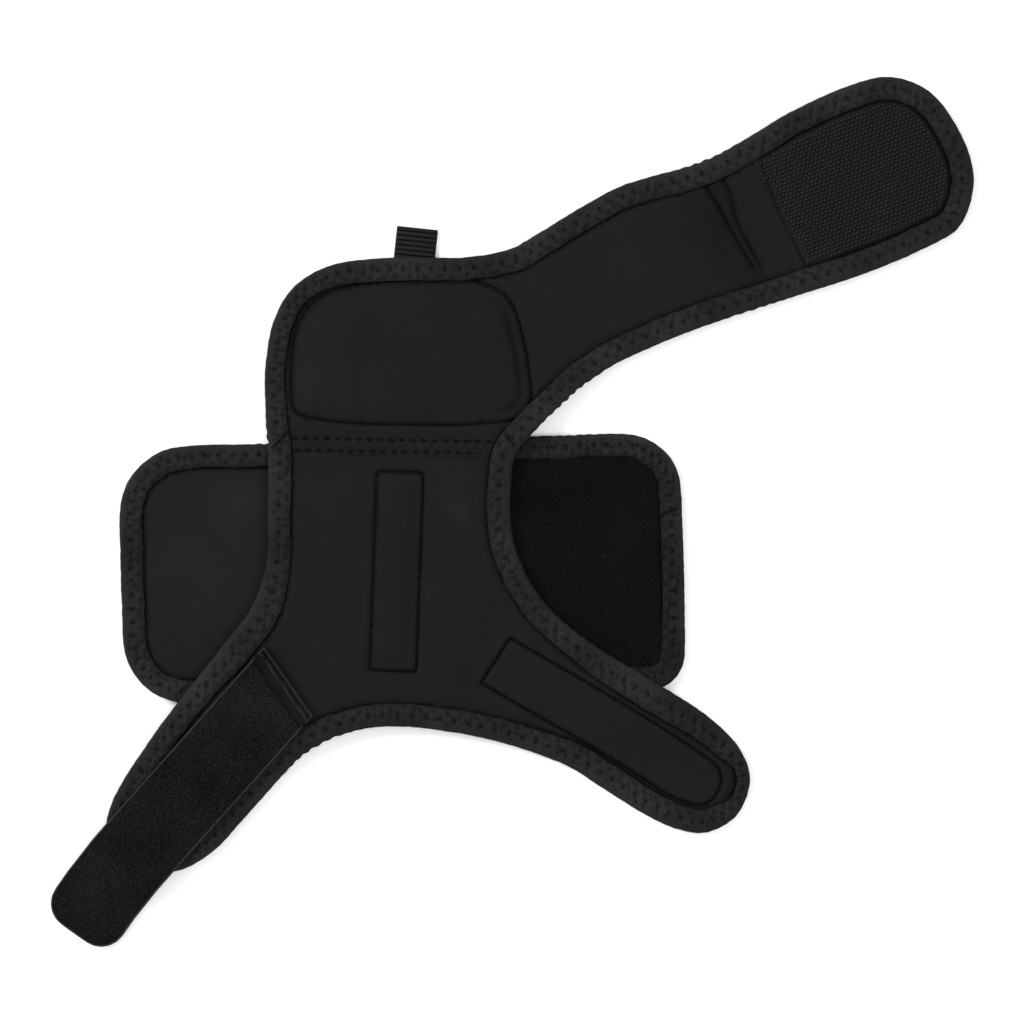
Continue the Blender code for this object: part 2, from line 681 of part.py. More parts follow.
def main():
    for obj in list(bpy.data.objects):
        bpy.data.objects.remove(obj, do_unlink=True)
    edge = smooth_loop(BODY_EDGE)
    build_band()
    build_body_panels(edge)
    build_body_bindings(edge)
    build_hand_patch(edge)
    build_seam_tape(edge)
    build_pad(edge)
    build_stay()
    build_loop_strap()
    build_hook_tape(edge)
    build_pull_tab()
    recentre()


main()
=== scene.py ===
import json
import math

import bpy
import numpy as np
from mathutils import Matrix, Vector
from mathutils.geometry import delaunay_2d_cdt
from mathutils.kdtree import KDTree
from numpy.linalg import norm


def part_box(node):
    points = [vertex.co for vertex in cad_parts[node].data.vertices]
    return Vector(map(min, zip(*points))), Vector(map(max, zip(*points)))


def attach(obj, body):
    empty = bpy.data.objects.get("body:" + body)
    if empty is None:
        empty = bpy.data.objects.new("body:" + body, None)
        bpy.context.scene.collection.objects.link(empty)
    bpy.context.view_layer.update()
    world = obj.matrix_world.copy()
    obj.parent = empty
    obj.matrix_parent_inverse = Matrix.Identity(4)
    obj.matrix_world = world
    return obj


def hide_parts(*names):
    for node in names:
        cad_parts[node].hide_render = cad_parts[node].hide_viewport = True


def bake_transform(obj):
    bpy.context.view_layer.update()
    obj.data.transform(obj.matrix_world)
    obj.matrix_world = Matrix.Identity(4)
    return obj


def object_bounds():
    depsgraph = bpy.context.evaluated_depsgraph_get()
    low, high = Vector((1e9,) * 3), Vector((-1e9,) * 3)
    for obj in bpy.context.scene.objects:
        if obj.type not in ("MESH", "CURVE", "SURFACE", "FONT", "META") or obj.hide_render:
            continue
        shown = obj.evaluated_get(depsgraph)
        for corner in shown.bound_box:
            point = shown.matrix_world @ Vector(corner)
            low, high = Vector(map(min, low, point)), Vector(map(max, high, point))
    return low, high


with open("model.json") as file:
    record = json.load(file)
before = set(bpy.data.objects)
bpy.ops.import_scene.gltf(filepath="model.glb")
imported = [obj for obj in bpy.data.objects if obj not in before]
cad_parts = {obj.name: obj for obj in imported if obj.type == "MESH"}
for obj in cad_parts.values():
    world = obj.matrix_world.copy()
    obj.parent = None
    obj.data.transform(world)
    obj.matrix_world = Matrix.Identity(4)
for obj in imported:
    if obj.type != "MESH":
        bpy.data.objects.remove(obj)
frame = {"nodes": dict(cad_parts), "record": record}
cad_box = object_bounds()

# Lengths are in metres. Those in tables, and the widths, depths and pitches given to bell,
# ease, waves, spots, groove and painted_line_shade, are in millimetres.
MM = 0.001
rng = np.random.default_rng(7)


# ---- functions of distance

def bell(x, width, power=2):
    """1 where x is 0, falling to nothing about two widths away."""
    return np.exp(-(x / (width * MM)) ** power)


def smoothstep(x, low, high):
    t = np.clip((x - low) / (high - low), 0, 1)
    return t * t * (3 - 2 * t)


def ease(x, low, high):
    """A smooth step from 0 to 1 between two distances in millimetres."""
    return smoothstep(x, low * MM, high * MM)


def waves(xy, size, seed):
    """Smooth wandering values of about -1 to 1, from place to place."""
    local = np.random.default_rng(seed)
    total = np.zeros(len(xy))
    for _ in range(6):
        angle = local.uniform(0, 2 * math.pi)
        k = 2 * math.pi / (size * MM * local.uniform(0.7, 1.6))
        along = xy[:, 0] * math.cos(angle) + xy[:, 1] * math.sin(angle)
        total += np.sin(along * k + local.uniform(0, 6.3))
    return total / 3.0


def spots(xy, places, power=2):
    """The sum of round spots, each a ((x, y), radius, strength)."""
    total = np.zeros(len(xy))
    for middle, radius, strength in places:
        total += strength * bell(norm(xy - np.array(middle) * MM, axis=1), radius, power)
    return total


def groove(d, s, depth, width, pitch=3.6, share=0.35):
    """A sewn line's height: a groove with a dimple at each stitch and a soft rise beside it."""
    dip = bell(d, width) * (1 - share * np.cos(2 * math.pi * s / (pitch * MM)))
    rise = bell(np.abs(d) - 2.6 * width * MM, 1.3 * width)
    return (-depth * dip + 0.22 * depth * rise) * MM


def painted_line_shade(d, s, width, pitch=3.6, share=0.25):
    """How dark a sewn line is drawn at a distance from it: painted shade in its groove, standing in also
    for the dark thread.
    """
    return np.exp(-np.abs(d / (width * MM)) ** 2.2) * (
        1 - share + share * np.cos(2 * math.pi * s / (pitch * MM)))


# ---- reading the CAD

def base_of(node):
    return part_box(node)[0][2]


def top_of(node):
    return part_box(node)[1][2]


def cad_mesh(node):
    """A CAD node's welded vertices and triangles."""
    mesh = frame["nodes"][node].data
    co = np.array([v.co[:] for v in mesh.vertices])
    mesh.calc_loop_triangles()
    tris = np.array([t.vertices[:] for t in mesh.loop_triangles])
    keys, index = np.unique(np.round(co, 6), axis=0, return_inverse=True)
    return keys, index.ravel()[tris]


def border_edges(tris):
    """The directed edges that only one triangle has."""
    edges = {}
    for a, b, c in tris.tolist():
        for edge in ((a, b), (b, c), (c, a)):
            if edge[::-1] in edges:
                del edges[edge[::-1]]
            else:
                edges[edge] = True
    return list(edges)


def loop_area(loop):
    x, y = loop[:, 0], loop[:, 1]
    return 0.5 * np.sum(x * np.roll(y, -1) - y * np.roll(x, -1))


def outline(node, level):
    """The longest boundary loop of a node's flat face at a level, counter-clockwise."""
    co, tris = cad_mesh(node)
    flat = tris[np.all(np.abs(co[tris][:, :, 2] - level) < 3e-5, axis=1)]
    ahead = dict(sorted(border_edges(flat)))
    loops = []
    while ahead:
        start = min(ahead)
        here = ahead.pop(start)
        loop = [start]
        while here != start and here in ahead:
            loop.append(here)
            here = ahead.pop(here)
        loop = co[loop][:, :2]
        loops.append(loop if loop_area(loop) > 0 else loop[::-1])
    return max(loops, key=loop_area)


def edge_run(node):
    """The outer edge of a binding piece, as an open run of points."""
    co, _ = cad_mesh(node)
    levels = {}
    for x, y, z in co:
        levels.setdefault((round(x, 5), round(y, 5)), set()).add(round(z, 5))
    loop = outline(node, co[:, 2].max())
    outer = [len(levels[(round(x, 5), round(y, 5))]) <= 2 for x, y in loop]
    start = next(i for i in range(len(loop)) if outer[i] and not outer[i - 1])
    run = []
    for k in range(len(loop)):
        i = (start + k) % len(loop)
        if not outer[i]:
            break
        run.append(loop[i])
    return np.array(run)


def joined_edge(nodes):
    """One closed loop through the outer edges of several binding pieces."""
    runs = [edge_run(n) for n in nodes]
    chain = runs.pop(0)
    while runs:
        gaps = [norm(r[0] - chain[-1]) for r in runs]
        chain = np.vstack([chain, runs.pop(int(np.argmin(gaps)))])
    return chain if loop_area(chain) > 0 else chain[::-1]


# ---- plan curves

def smooth_closed(points, step):
    """A smooth closed curve through the points, evenly spaced."""
    nearest = 1.2 * MM
    keep = [points[0]]
    for p in points[1:]:
        if norm(p - keep[-1]) > nearest:
            keep.append(p)
    if norm(keep[0] - keep[-1]) < nearest:
        keep.pop()
    return even(catmull(np.array(keep), True), step, True)


def catmull(p, closed, parts=10):
    """A centripetal Catmull-Rom curve through the points."""
    if closed:
        p0, p1, p2, p3 = (np.roll(p, k, 0) for k in (1, 0, -1, -2))
    else:
        ends = np.vstack([2 * p[0] - p[1], p, 2 * p[-1] - p[-2]])
        p0, p1, p2, p3 = ends[:-3], ends[1:-2], ends[2:-1], ends[3:]
    t1 = np.sqrt(norm(p1 - p0, axis=1))[:, None]
    t2 = t1 + np.sqrt(norm(p2 - p1, axis=1))[:, None]
    t3 = t2 + np.sqrt(norm(p3 - p2, axis=1))[:, None]
    out = []
    for k in range(parts):
        t = t1 + (t2 - t1) * k / parts
        a1 = p0 + (p1 - p0) * t / t1
        a2 = p1 + (p2 - p1) * (t - t1) / (t2 - t1)
        a3 = p2 + (p3 - p2) * (t - t2) / (t3 - t2)
        b1 = a1 + (a2 - a1) * t / t2
        b2 = a2 + (a3 - a2) * (t - t1) / (t3 - t1)
        out.append(b1 + (b2 - b1) * (t - t1) / (t2 - t1))
    curve = np.stack(out, 1).reshape(-1, p.shape[1])
    return curve if closed else np.vstack([curve, p[-1]])


def even(curve, step, closed):
    """The curve resampled at about step."""
    line = np.vstack([curve, curve[:1]]) if closed else curve
    s = np.concatenate([[0], np.cumsum(norm(np.diff(line, axis=0), axis=1))])
    count = max(4, int(round(s[-1] / step)))
    at = np.linspace(0, s[-1], count + 1)
    if closed:
        at = at[:-1]
    return np.stack([np.interp(at, s, line[:, k]) for k in range(line.shape[1])], 1)


def normals(curve, closed, reach=3):
    """Unit normals to the left of an even curve."""
    if closed:
        tangent = np.roll(curve, -reach, 0) - np.roll(curve, reach, 0)
    else:
        longer = np.vstack([np.repeat(curve[:1], reach, 0), curve, np.repeat(curve[-1:], reach, 0)])
        tangent = longer[2 * reach:] - longer[:-2 * reach]
    tangent /= norm(tangent, axis=1)[:, None]
    return np.stack([-tangent[:, 1], tangent[:, 0]], 1)


def shifted(curve, distance):
    """A closed curve moved to its left by distance."""
    return curve + normals(curve, True) * distance


def tree_of(points):
    tree = KDTree(len(points))
    for i, (x, y) in enumerate(points):
        tree.insert((x, y, 0.0), i)
    tree.balance()
    return tree


class Line:
    """A plan curve that can be asked how far and how far along a point is."""

    def __init__(self, points, closed=False, step=0.4 * MM):
        self.closed = closed
        self.points = even(np.asarray(points, float), step, closed)
        line = np.vstack([self.points, self.points[:1]]) if closed else self.points
        self.length = norm(np.diff(line, axis=0), axis=1).sum()
        self.s = np.arange(len(self.points)) * self.length / (len(line) - 1)
        self.normal = normals(self.points, closed)
        self.tree = tree_of(self.points)

    def near(self, xy):
        """Signed distance (left is positive) and distance along, for each point."""
        index = np.array([self.tree.find((x, y, 0.0))[1] for x, y in xy])
        offset = xy - self.points[index]
        sideways = np.sum(offset * self.normal[index], 1)
        straight = norm(offset, axis=1)
        close = np.maximum(np.abs(sideways), straight - 0.25 * MM)
        distance = np.where(straight < 3 * MM, close, straight)
        return distance * np.where(sideways < 0, -1, 1), self.s[index]

    def far(self, xy):
        """Distance from the line on either side."""
        return np.abs(self.near(xy)[0])

    def rows(self, offsets, step):
        """Points in rows beside the line, for a finer mesh there."""
        base = even(self.points, step, self.closed)
        normal = normals(base, self.closed, 1)
        return np.vstack([base + normal * o for o in offsets])


def inside(points, loop):
    """Which points lie in a closed loop."""
    hit = np.zeros(len(points), bool)
    a, b = loop, np.roll(loop, -1, 0)
    batch = 4000
    for start in range(0, len(points), batch):
        px, py = points[start:start + batch, 0:1], points[start:start + batch, 1:2]
        crosses = (a[:, 1] > py) != (b[:, 1] > py)
        with np.errstate(divide="ignore", invalid="ignore"):
            x = a[:, 0] + (py - a[:, 1]) / (b[:, 1] - a[:, 1]) * (b[:, 0] - a[:, 0])
        hit[start:start + batch] = (np.sum(crosses & (px < x), 1) % 2) == 1
    return hit


def clip(loop, point, normal):
    """The part of a loop on the side that normal points to."""
    side = (loop - point) @ normal
    out = []
    for i in range(len(loop)):
        j = (i + 1) % len(loop)
        if side[i] >= 0:
            out.append(loop[i])
        if side[i] * side[j] < 0:
            out.append(loop[i] + (loop[j] - loop[i]) * side[i] / (side[i] - side[j]))
    return np.array(out)


# ---- what the CAD says

JOINT = {j["name"]: j for j in frame["record"]["behaviour"]["joints"]}
# at each fold: where the loose piece starts, and the two distances between which cloth bends
FOLDS = {
    "hand_strap_fold": (-14, -3, 13), "strap_tip_fold": (-34, -3, 13),
    "left_arm_fold": (-14, -5, 7), "right_arm_fold": (-14, -3, 13),
    "left_wing_fold": (-4, -2, 10), "right_wing_fold": (-4, -2, 10),
    "loop_strap_lift": (None, -2, 8), "pull_tab_flip": (None, -0.3, 2.5)}


def bending(name, under="floor", *binding):
    """A part that bends: its name, CAD panels, fold, what it lies on and lengths of binding."""
    nodes = tuple(n + "_binding" for n in binding or (name,))
    return name, (name + "_panel",), name + "_fold", under, nodes


BODY_PARTS = (
    ("core", ("lower_panel", "upper_panel"), None, None,
     ("waist_left_binding", "waist_right_binding", "crotch_binding")),
    bending("hand_strap", "floor", "hand_strap_top", "hand_strap_bottom"), bending("strap_tip"),
    bending("left_arm"), bending("right_arm", "right_wing_loop_pile"),
    ("core", None, None, None, ("upper_binding", "upper_corner_binding")))
BAND_PARTS = (
    ("band_centre", ("band_centre_panel",), None, "floor",
     ("band_top_binding", "band_bottom_binding")),
    bending("left_wing"), bending("right_wing"))

CURVE_STEP = 0.4 * MM
body_edge, band_edge = (
    smooth_closed(joined_edge(sum((parts[k][4] for k in order), ())), CURVE_STEP)
    for parts, order in ((BODY_PARTS, (5, 1, 2, 0, 3, 4)), (BAND_PARTS, (0, 1, 2))))
body_line, band_line = Line(body_edge, True), Line(band_edge, True)

BAND_FACE, BAND_TOP = top_of("band_centre_panel"), top_of("band_top_binding")
PILE_BASE, PILE_TOP = base_of("centre_loop_pile"), top_of("centre_loop_pile")
BODY_BASE, BODY_FACE = base_of("lower_panel"), top_of("lower_panel")
BODY_TOP = top_of("upper_binding")
STRAP_BASE, STRAP_TOP = base_of("loop_strap"), top_of("loop_strap")
PAD_TOP, SLEEVE_TOP = top_of("pad_cover"), top_of("stay_sleeve")

# how far the folded tape reaches in, how far a panel's edge lies inside the tape's, and how far
# a panel's underside lies above the tape's
LIP = 8.4 * MM
PANEL_IN = 2.6 * MM
UNDERSIDE = 0.72 * MM
# places where the tape reaches further in or less far in: (x, y), radius, extra
LIP_CHANGES = (
    ((-84.0, 62.0), 34.0, -1.3), ((48.0, -66.0), 26.0, 1.6), ((40.0, -92.0), 30.0, 0.8),
    ((86.0, -99.0), 13.0, -3.4), ((-92.0, -46.0), 22.0, 2.0))
# places where the edge is puckered: (x, y), radius, extra
PUCKERS = (
    ((-74.0, -82.0), 12.0, 0.28), ((22.0, -46.0), 18.0, 0.16), ((70.0, 128.0), 9.0, 0.24),
    ((-86.0, 24.0), 6.0, 0.35), ((22.0, 40.0), 12.0, 0.24), ((88.0, 78.0), 10.0, 0.20))
# light marks on the palm and on the left wing: (x, y), radius, lightening
PALM_MARKS = (((-20.0, 1.5), 4.0, 0.035), ((-18.5, -2.0), 3.0, 0.03), ((-36.0, -30.0), 9.0, 0.02))
WING_MARKS = (((-98.0, 5.0), 9.0, 0.06), ((-111.0, -20.0), 24.0, 0.03))


def lip(xy):
    """How far the folded tape reaches in from the edge, from place to place."""
    return LIP + spots(xy, LIP_CHANGES, 4) * MM


def fold(name):
    """A fold's point and its loose side's direction, in plan."""
    joint = JOINT[name]
    axis = np.array(joint["axis"][:2])
    return np.array(joint["pos_m"][:2]), np.array([-axis[1], axis[0]])


def past(xy, name):
    """How far points are past a fold, towards its loose side."""
    at, loose = fold(name)
    return (xy - at) @ loose


def cut_off(xy, name):
    """Which points belong to the loose piece of a fold."""
    return past(xy, name) > FOLDS[name][0] * MM


seam_loop = outline("seam_tape", top_of("seam_tape"))
seam_left = seam_loop[seam_loop[:, 0] < seam_loop[:, 0].min() + 6 * MM].mean(0)
seam_right = seam_loop[seam_loop[:, 0] > seam_loop[:, 0].max() - 6 * MM].mean(0)
seam_way = (seam_right - seam_left) / norm(seam_right - seam_left)
seam_up = np.array([-seam_way[1], seam_way[0]])


def body_region(xy):
    """Each point's place in BODY_PARTS."""
    upper = (xy - seam_left) @ seam_up > 0
    region = np.where(upper, 5, 0)
    strap = upper & cut_off(xy, "hand_strap_fold")
    region[strap] = 1
    region[strap & cut_off(xy, "strap_tip_fold")] = 2
    region[~upper & cut_off(xy, "left_arm_fold")] = 3
    region[~upper & cut_off(xy, "right_arm_fold")] = 4
    return region


def band_region(xy):
    """Each point's place in BAND_PARTS."""
    region = np.zeros(len(xy), int)
    region[cut_off(xy, "left_wing_fold")] = 1
    region[cut_off(xy, "right_wing_fold")] = 2
    return region


def droop(xy):
    """How far cloth sinks to the floor where neither the band nor the pull tab holds it up."""
    outside = np.maximum(0, -band_line.near(xy)[0])
    root, out = fold("pull_tab_flip")
    over_tab = bell(norm(xy - (root - out * 4.5 * MM), axis=1), 18, 4)
    return (BODY_BASE - 0.3 * MM) * ease(outside, 2, 30) * (1 - 0.42 * over_tab)


# ---- meshes

def new_object(name, verts, faces, uv, sharp=50.0, painted_light_and_marks=None):
    mesh = bpy.data.meshes.new(name)
    mesh.from_pydata(np.asarray(verts).tolist(), [], faces)
    mesh.update()
    layer = mesh.uv_layers.new(name="rest")
    index = np.zeros(len(mesh.loops), np.int32)
    mesh.loops.foreach_get("vertex_index", index)
    layer.data.foreach_set("uv", np.asarray(uv, np.float32)[index].ravel())
    if painted_light_and_marks is not None:
        values = mesh.attributes.new("painted_light_and_marks", "FLOAT", "POINT").data
        values.foreach_set("value", np.asarray(painted_light_and_marks, np.float32))
    mesh.shade_smooth()
    mesh.set_sharp_from_angle(angle=math.radians(sharp))
    obj = bpy.data.objects.new(name, mesh)
    bpy.context.collection.objects.link(obj)
    return obj


def plan_uv(xy):
    """Texture coordinates: the plan in decimetres, which the materials scale back to millimetres."""
    return xy / MM / 100


def ring_faces(rings, around, start=0, wrap=True, closed=False, turned=False):
    """Quads between rings of points, each ring joined to the next."""
    faces = []
    for i in range(rings if closed else rings - 1):
        a, b = start + i * around, start + (i + 1) % rings * around
        for j in range(around if wrap else around - 1):
            k = (j + 1) % around
            faces.append([a + j, a + k, b + k, b + j] if turned else [a + j, b + j, b + k, a + k])
    return faces


def triangulate(loop, spacing, lines=(), cuts=()):
    """Plan triangles inside a loop, finer beside the lines, with edges along the cuts."""
    low, high = loop.min(0), loop.max(0)
    rows = []
    for k, y in enumerate(np.arange(low[1], high[1], spacing * 0.866)):
        x = np.arange(low[0] + (k % 2) * spacing / 2, high[0], spacing)
        rows.append(np.stack([x, np.full(len(x), y)], 1))
    grid = np.vstack(rows)
    grid += rng.uniform(-0.12, 0.12, grid.shape) * spacing
    border = Line(loop, True, spacing)
    grid = grid[inside(grid, loop)]
    grid = grid[border.far(grid) > spacing * 0.6]
    extra = []
    for line, offsets in lines:
        grid = grid[line.far(grid) > max(offsets) + 0.45 * MM]
        rows = line.rows(offsets, 0.85 * MM)
        rows = rows[inside(rows, loop)]
        rows = rows[border.far(rows) > spacing * 0.4]
        for before in extra:
            if len(rows) and len(before):
                tree = tree_of(before)
                rows = rows[[tree.find((x, y, 0))[2] > 0.35 * MM for x, y in rows]]
        extra.append(rows)
    edge = border.points
    points = np.vstack([edge, grid] + extra)
    constraints = [(i, (i + 1) % len(edge)) for i in range(len(edge))]
    far = np.ones(len(points), bool)
    for a, b in cuts:
        away = np.array([b[1] - a[1], a[0] - b[0]]) / norm(b - a)
        along = (points - a) @ (b - a) / norm(b - a) ** 2
        far &= (np.abs((points - a) @ away) > 0.5 * MM) | (np.abs(along - 0.5) > 0.52)
    far[:len(edge)] = True
    points = points[far]
    for a, b in cuts:
        steps = int(norm(b - a) / (0.7 * MM))
        count = len(points)
        points = np.vstack([points, a + (b - a) * np.linspace(0, 1, steps + 1)[:, None]])
        constraints += [(count + k, count + k + 1) for k in range(steps)]
    verts, _, faces, *_ = delaunay_2d_cdt([Vector(p) for p in points], constraints, [], 0, 1e-6)
    xy = np.array([v[:] for v in verts])
    tris = np.array([f for f in faces if len(f) == 3])
    return xy, tris[inside(xy[tris].mean(1), edge)]


def slab(name, xy, tris, top, bottom, painted_light_and_marks=None):
    """A closed sheet from plan triangles, its faces' heights and its top's painted shade, highlights and
    marks.
    """
    used, index = np.unique(tris, return_inverse=True)
    tris, count = index.reshape(tris.shape), len(used)
    faces = tris.tolist() + (tris[:, ::-1] + count).tolist()
    faces += [[b, a, a + count, b + count] for a, b in border_edges(tris)]
    verts = np.vstack([np.column_stack([xy, np.broadcast_to(z, len(xy))])[used] for z in (top, bottom)])
    if painted_light_and_marks is not None:
        painted_light_and_marks = np.concatenate([painted_light_and_marks[used], np.zeros(count)])
    return new_object(name, verts, faces, plan_uv(verts[:, :2]), painted_light_and_marks=painted_light_and_marks)


def crossing(loop, name):
    """The ends of the cut before a fold, each just outside a loop."""
    at, loose = fold(name)
    start = at + loose * (FOLDS[name][0] * MM)
    along = np.array([-loose[1], loose[0]])
    side = (loop - start) @ loose
    turn = np.nonzero(side * np.roll(side, -1) < 0)[0]
    t = np.sort((loop[turn] - start) @ along)
    low, high = t[t < 0].max(), t[t > 0].min()
    return start + along * (low - 0.5 * MM), start + along * (high + 0.5 * MM)


# ---- materials

def plug(tree, node, inputs):
    """Sets a node's inputs, or links them if they are another node's output."""
    for socket, value in inputs.items():
        if isinstance(value, bpy.types.NodeSocket):
            tree.links.new(value, node.inputs[socket])
        else:
            node.inputs[socket].default_value = value


def add(tree, kind, output, inputs, **settings):
    """One output of a new shader node."""
    node = tree.nodes.new("ShaderNode" + kind)
    for key, value in settings.items():
        setattr(node, key, value)
    plug(tree, node, inputs)
    return node.outputs[output]


def cloth_material(name, dark, light, rough, weave, weave_depth, lint=0.0, spec=0.03, sheen=0.0):
    """A cloth: weave, fine grain, broad colour wander, a little lint, and painted shade, painted
    highlights and marks from a mesh attribute.
    """
    material = bpy.data.materials.new(name)
    material.use_nodes = True
    tree = material.node_tree

    def noise(scale, detail):
        return add(tree, "TexNoise", "Fac", {
            "Vector": at, "Scale": scale, "Detail": detail, "Roughness": 0.55})

    def ramp(value, low, high, to=(0.0, 1.0)):
        return add(tree, "MapRange", "Result", {
            "Value": value, "From Min": low, "From Max": high, "To Min": to[0], "To Max": to[1]})

    def sums(operation, a, b):
        return add(tree, "Math", 0, {0: a, 1: b}, operation=operation)

    def over(below, grey, factor):
        return add(tree, "Mix", "Result", {
            "Factor": factor, "A": below, "B": (grey, grey, grey, 1)}, data_type="RGBA")

    uv = add(tree, "UVMap", "UV", {}, uv_map="rest")
    at = add(tree, "VectorMath", "Vector", {0: uv, "Scale": 100.0}, operation="SCALE")
    broad, fine = noise(0.035, 3.0), noise(1.3, 2.0)
    shade = sums("ADD", sums("MULTIPLY", ramp(broad, 0.3, 0.7), 0.5),
                 sums("MULTIPLY", ramp(fine, 0.25, 0.75), 0.5))
    colour = over((dark, dark, dark, 1), light, shade)
    if lint:
        specks = add(tree, "TexVoronoi", "Distance", {"Vector": at, "Scale": 0.13, "Randomness": 1.0})
        colour = over(colour, 0.10, ramp(specks, lint, lint * 0.2))
    # the mesh attribute paints shade where positive (grooves, creases, shadows beside edges) and
    # highlights and light marks where negative
    painted_light_and_marks = add(tree, "Attribute", "Fac", {}, attribute_name="painted_light_and_marks")
    colour = over(colour, 0.0003, ramp(painted_light_and_marks, 0.0, 1.0))
    colour = over(colour, 0.06, ramp(painted_light_and_marks, 0.0, -1.0))
    knit = add(tree, "TexWave", "Fac", {
        "Vector": at, "Scale": weave, "Distortion": 1.5, "Detail": 1.0},
        wave_type="BANDS", bands_direction="DIAGONAL")
    height = sums("ADD", knit, sums("MULTIPLY", fine, 1.4))
    bump = add(tree, "Bump", "Normal", {"Strength": 0.6, "Distance": weave_depth, "Height": height})
    plug(tree, tree.nodes["Principled BSDF"], {
        "Base Color": colour, "Roughness": ramp(fine, 0.0, 1.0, (rough - 0.06, rough + 0.06)),
        "Specular IOR Level": spec, "Sheen Weight": sheen, "Sheen Roughness": 0.45, "Normal": bump})
    return material


# name, dark and light grey, roughness, weave's fineness and depth, lint
NEOPRENE = cloth_material("neoprene_jersey", 0.0070, 0.0094, 0.85, 0.75, 0.00008, 0.022)
BINDING = cloth_material("binding_tape", 0.0050, 0.0220, 0.80, 0.55, 0.00018, sheen=0.01)
PILE = cloth_material("loop_pile", 0.0018, 0.0056, 0.95, 0.5, 0.0004, 0.03, spec=0.02)
LOOPS = cloth_material("loop_fibre", 0.0030, 0.0085, 0.7, 0.5, 0.00005, spec=0.05)
STRAP_PILE = cloth_material("strap_pile", 0.0008, 0.0100, 0.95, 0.5, 0.0004, 0.03)
STRAP_LOOPS = cloth_material("strap_fibre", 0.0060, 0.0270, 0.7, 0.5, 0.00005, spec=0.06)
PLASTIC = cloth_material("hook_plate", 0.0062, 0.0096, 0.75, 0.4, 0.00004)
HOOK = cloth_material("hook_plastic", 0.0085, 0.0130, 0.5, 0.4, 0.00003, spec=0.12)
WEB = cloth_material("webbing", 0.0060, 0.0190, 0.7, 0.8, 0.00010, spec=0.04)
THREAD = cloth_material("thread", 0.0085, 0.0140, 0.6, 1.5, 0.00004, spec=0.05)
DARK_THREAD = cloth_material("dark_thread", 0.0020, 0.0045, 0.8, 1.5, 0.00004)
# the selvedge's lighter grey: partly its smooth weave, partly a painted highlight along the strap's edges
SELVEDGE_HIGHLIT = cloth_material("selvedge", 0.012, 0.027, 0.6, 0.9, 0.00010, spec=0.05)


def dress(obj, material, slot, on, *nodes):
    """Gives a piece its material (its slot is not used), hides the CAD nodes it stands for, and attaches
    it to a body, or bakes its transform for a piece over a fold.
    """
    obj.data.materials.append(material)
    if on not in FOLDS:
        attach(obj, on)
    if nodes:
        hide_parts(*nodes)
    if on in FOLDS:
        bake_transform(obj)
    return obj


# ---- sewn lines

SEAM_PITCH, SLEEVE_PITCH = 3.9, 3.2
pad_line = Line(smooth_closed(outline("pad_cover", base_of("pad_cover")), CURVE_STEP), True)
sleeve_loop = outline("stay_sleeve", base_of("stay_sleeve"))
sleeve_line = Line(sleeve_loop, True)
tape_line = Line(outline("right_arm_hook_tape", base_of("right_arm_hook_tape")), True)
patch_loop = outline("hand_hook_patch", top_of("hand_hook_patch"))
# the seam's two rows of stitches: how far up, and how much shorter at the left and the right
seam_rows = [
    Line(np.array([seam_left + seam_up * up * MM + seam_way * left * MM,
                   seam_right + seam_up * up * MM - seam_way * right * MM]))
    for up, left, right in ((2.1, -1.0, 1.0), (-2.2, 0.0, 3.0))]

tip_at, tip_loose = fold("strap_tip_fold")
tip_along = np.array([-tip_loose[1], tip_loose[0]])


def crease(points):
    """A crease given as (across, along) pairs from the strap tip's fold."""
    points = [tip_at + tip_loose * a * MM + tip_along * b * MM for a, b in points]
    return Line(even(catmull(np.array(points), False), CURVE_STEP, False))


# each crease beside the strap tip's fold: its line, depth and the darkness of its painted shade
creases = (
    (crease([(-5.5, 25.0), (-2.4, 12.5), (-1.2, 2.0), (1.6, -14.0), (2.4, -20.0)]), 1.1, 0.75),
    (crease([(0.8, 27.0), (3.3, 15.0), (1.9, 4.5), (3.6, -9.5), (4.4, -21.0)]), 0.9, 0.62))


# ---- the body's panels

def rolled_in(edge):
    """How far a panel's skins come together inside the tape, from 0 to 1."""
    return smoothstep(-edge, -LIP + 1.0 * MM, -3 * MM)


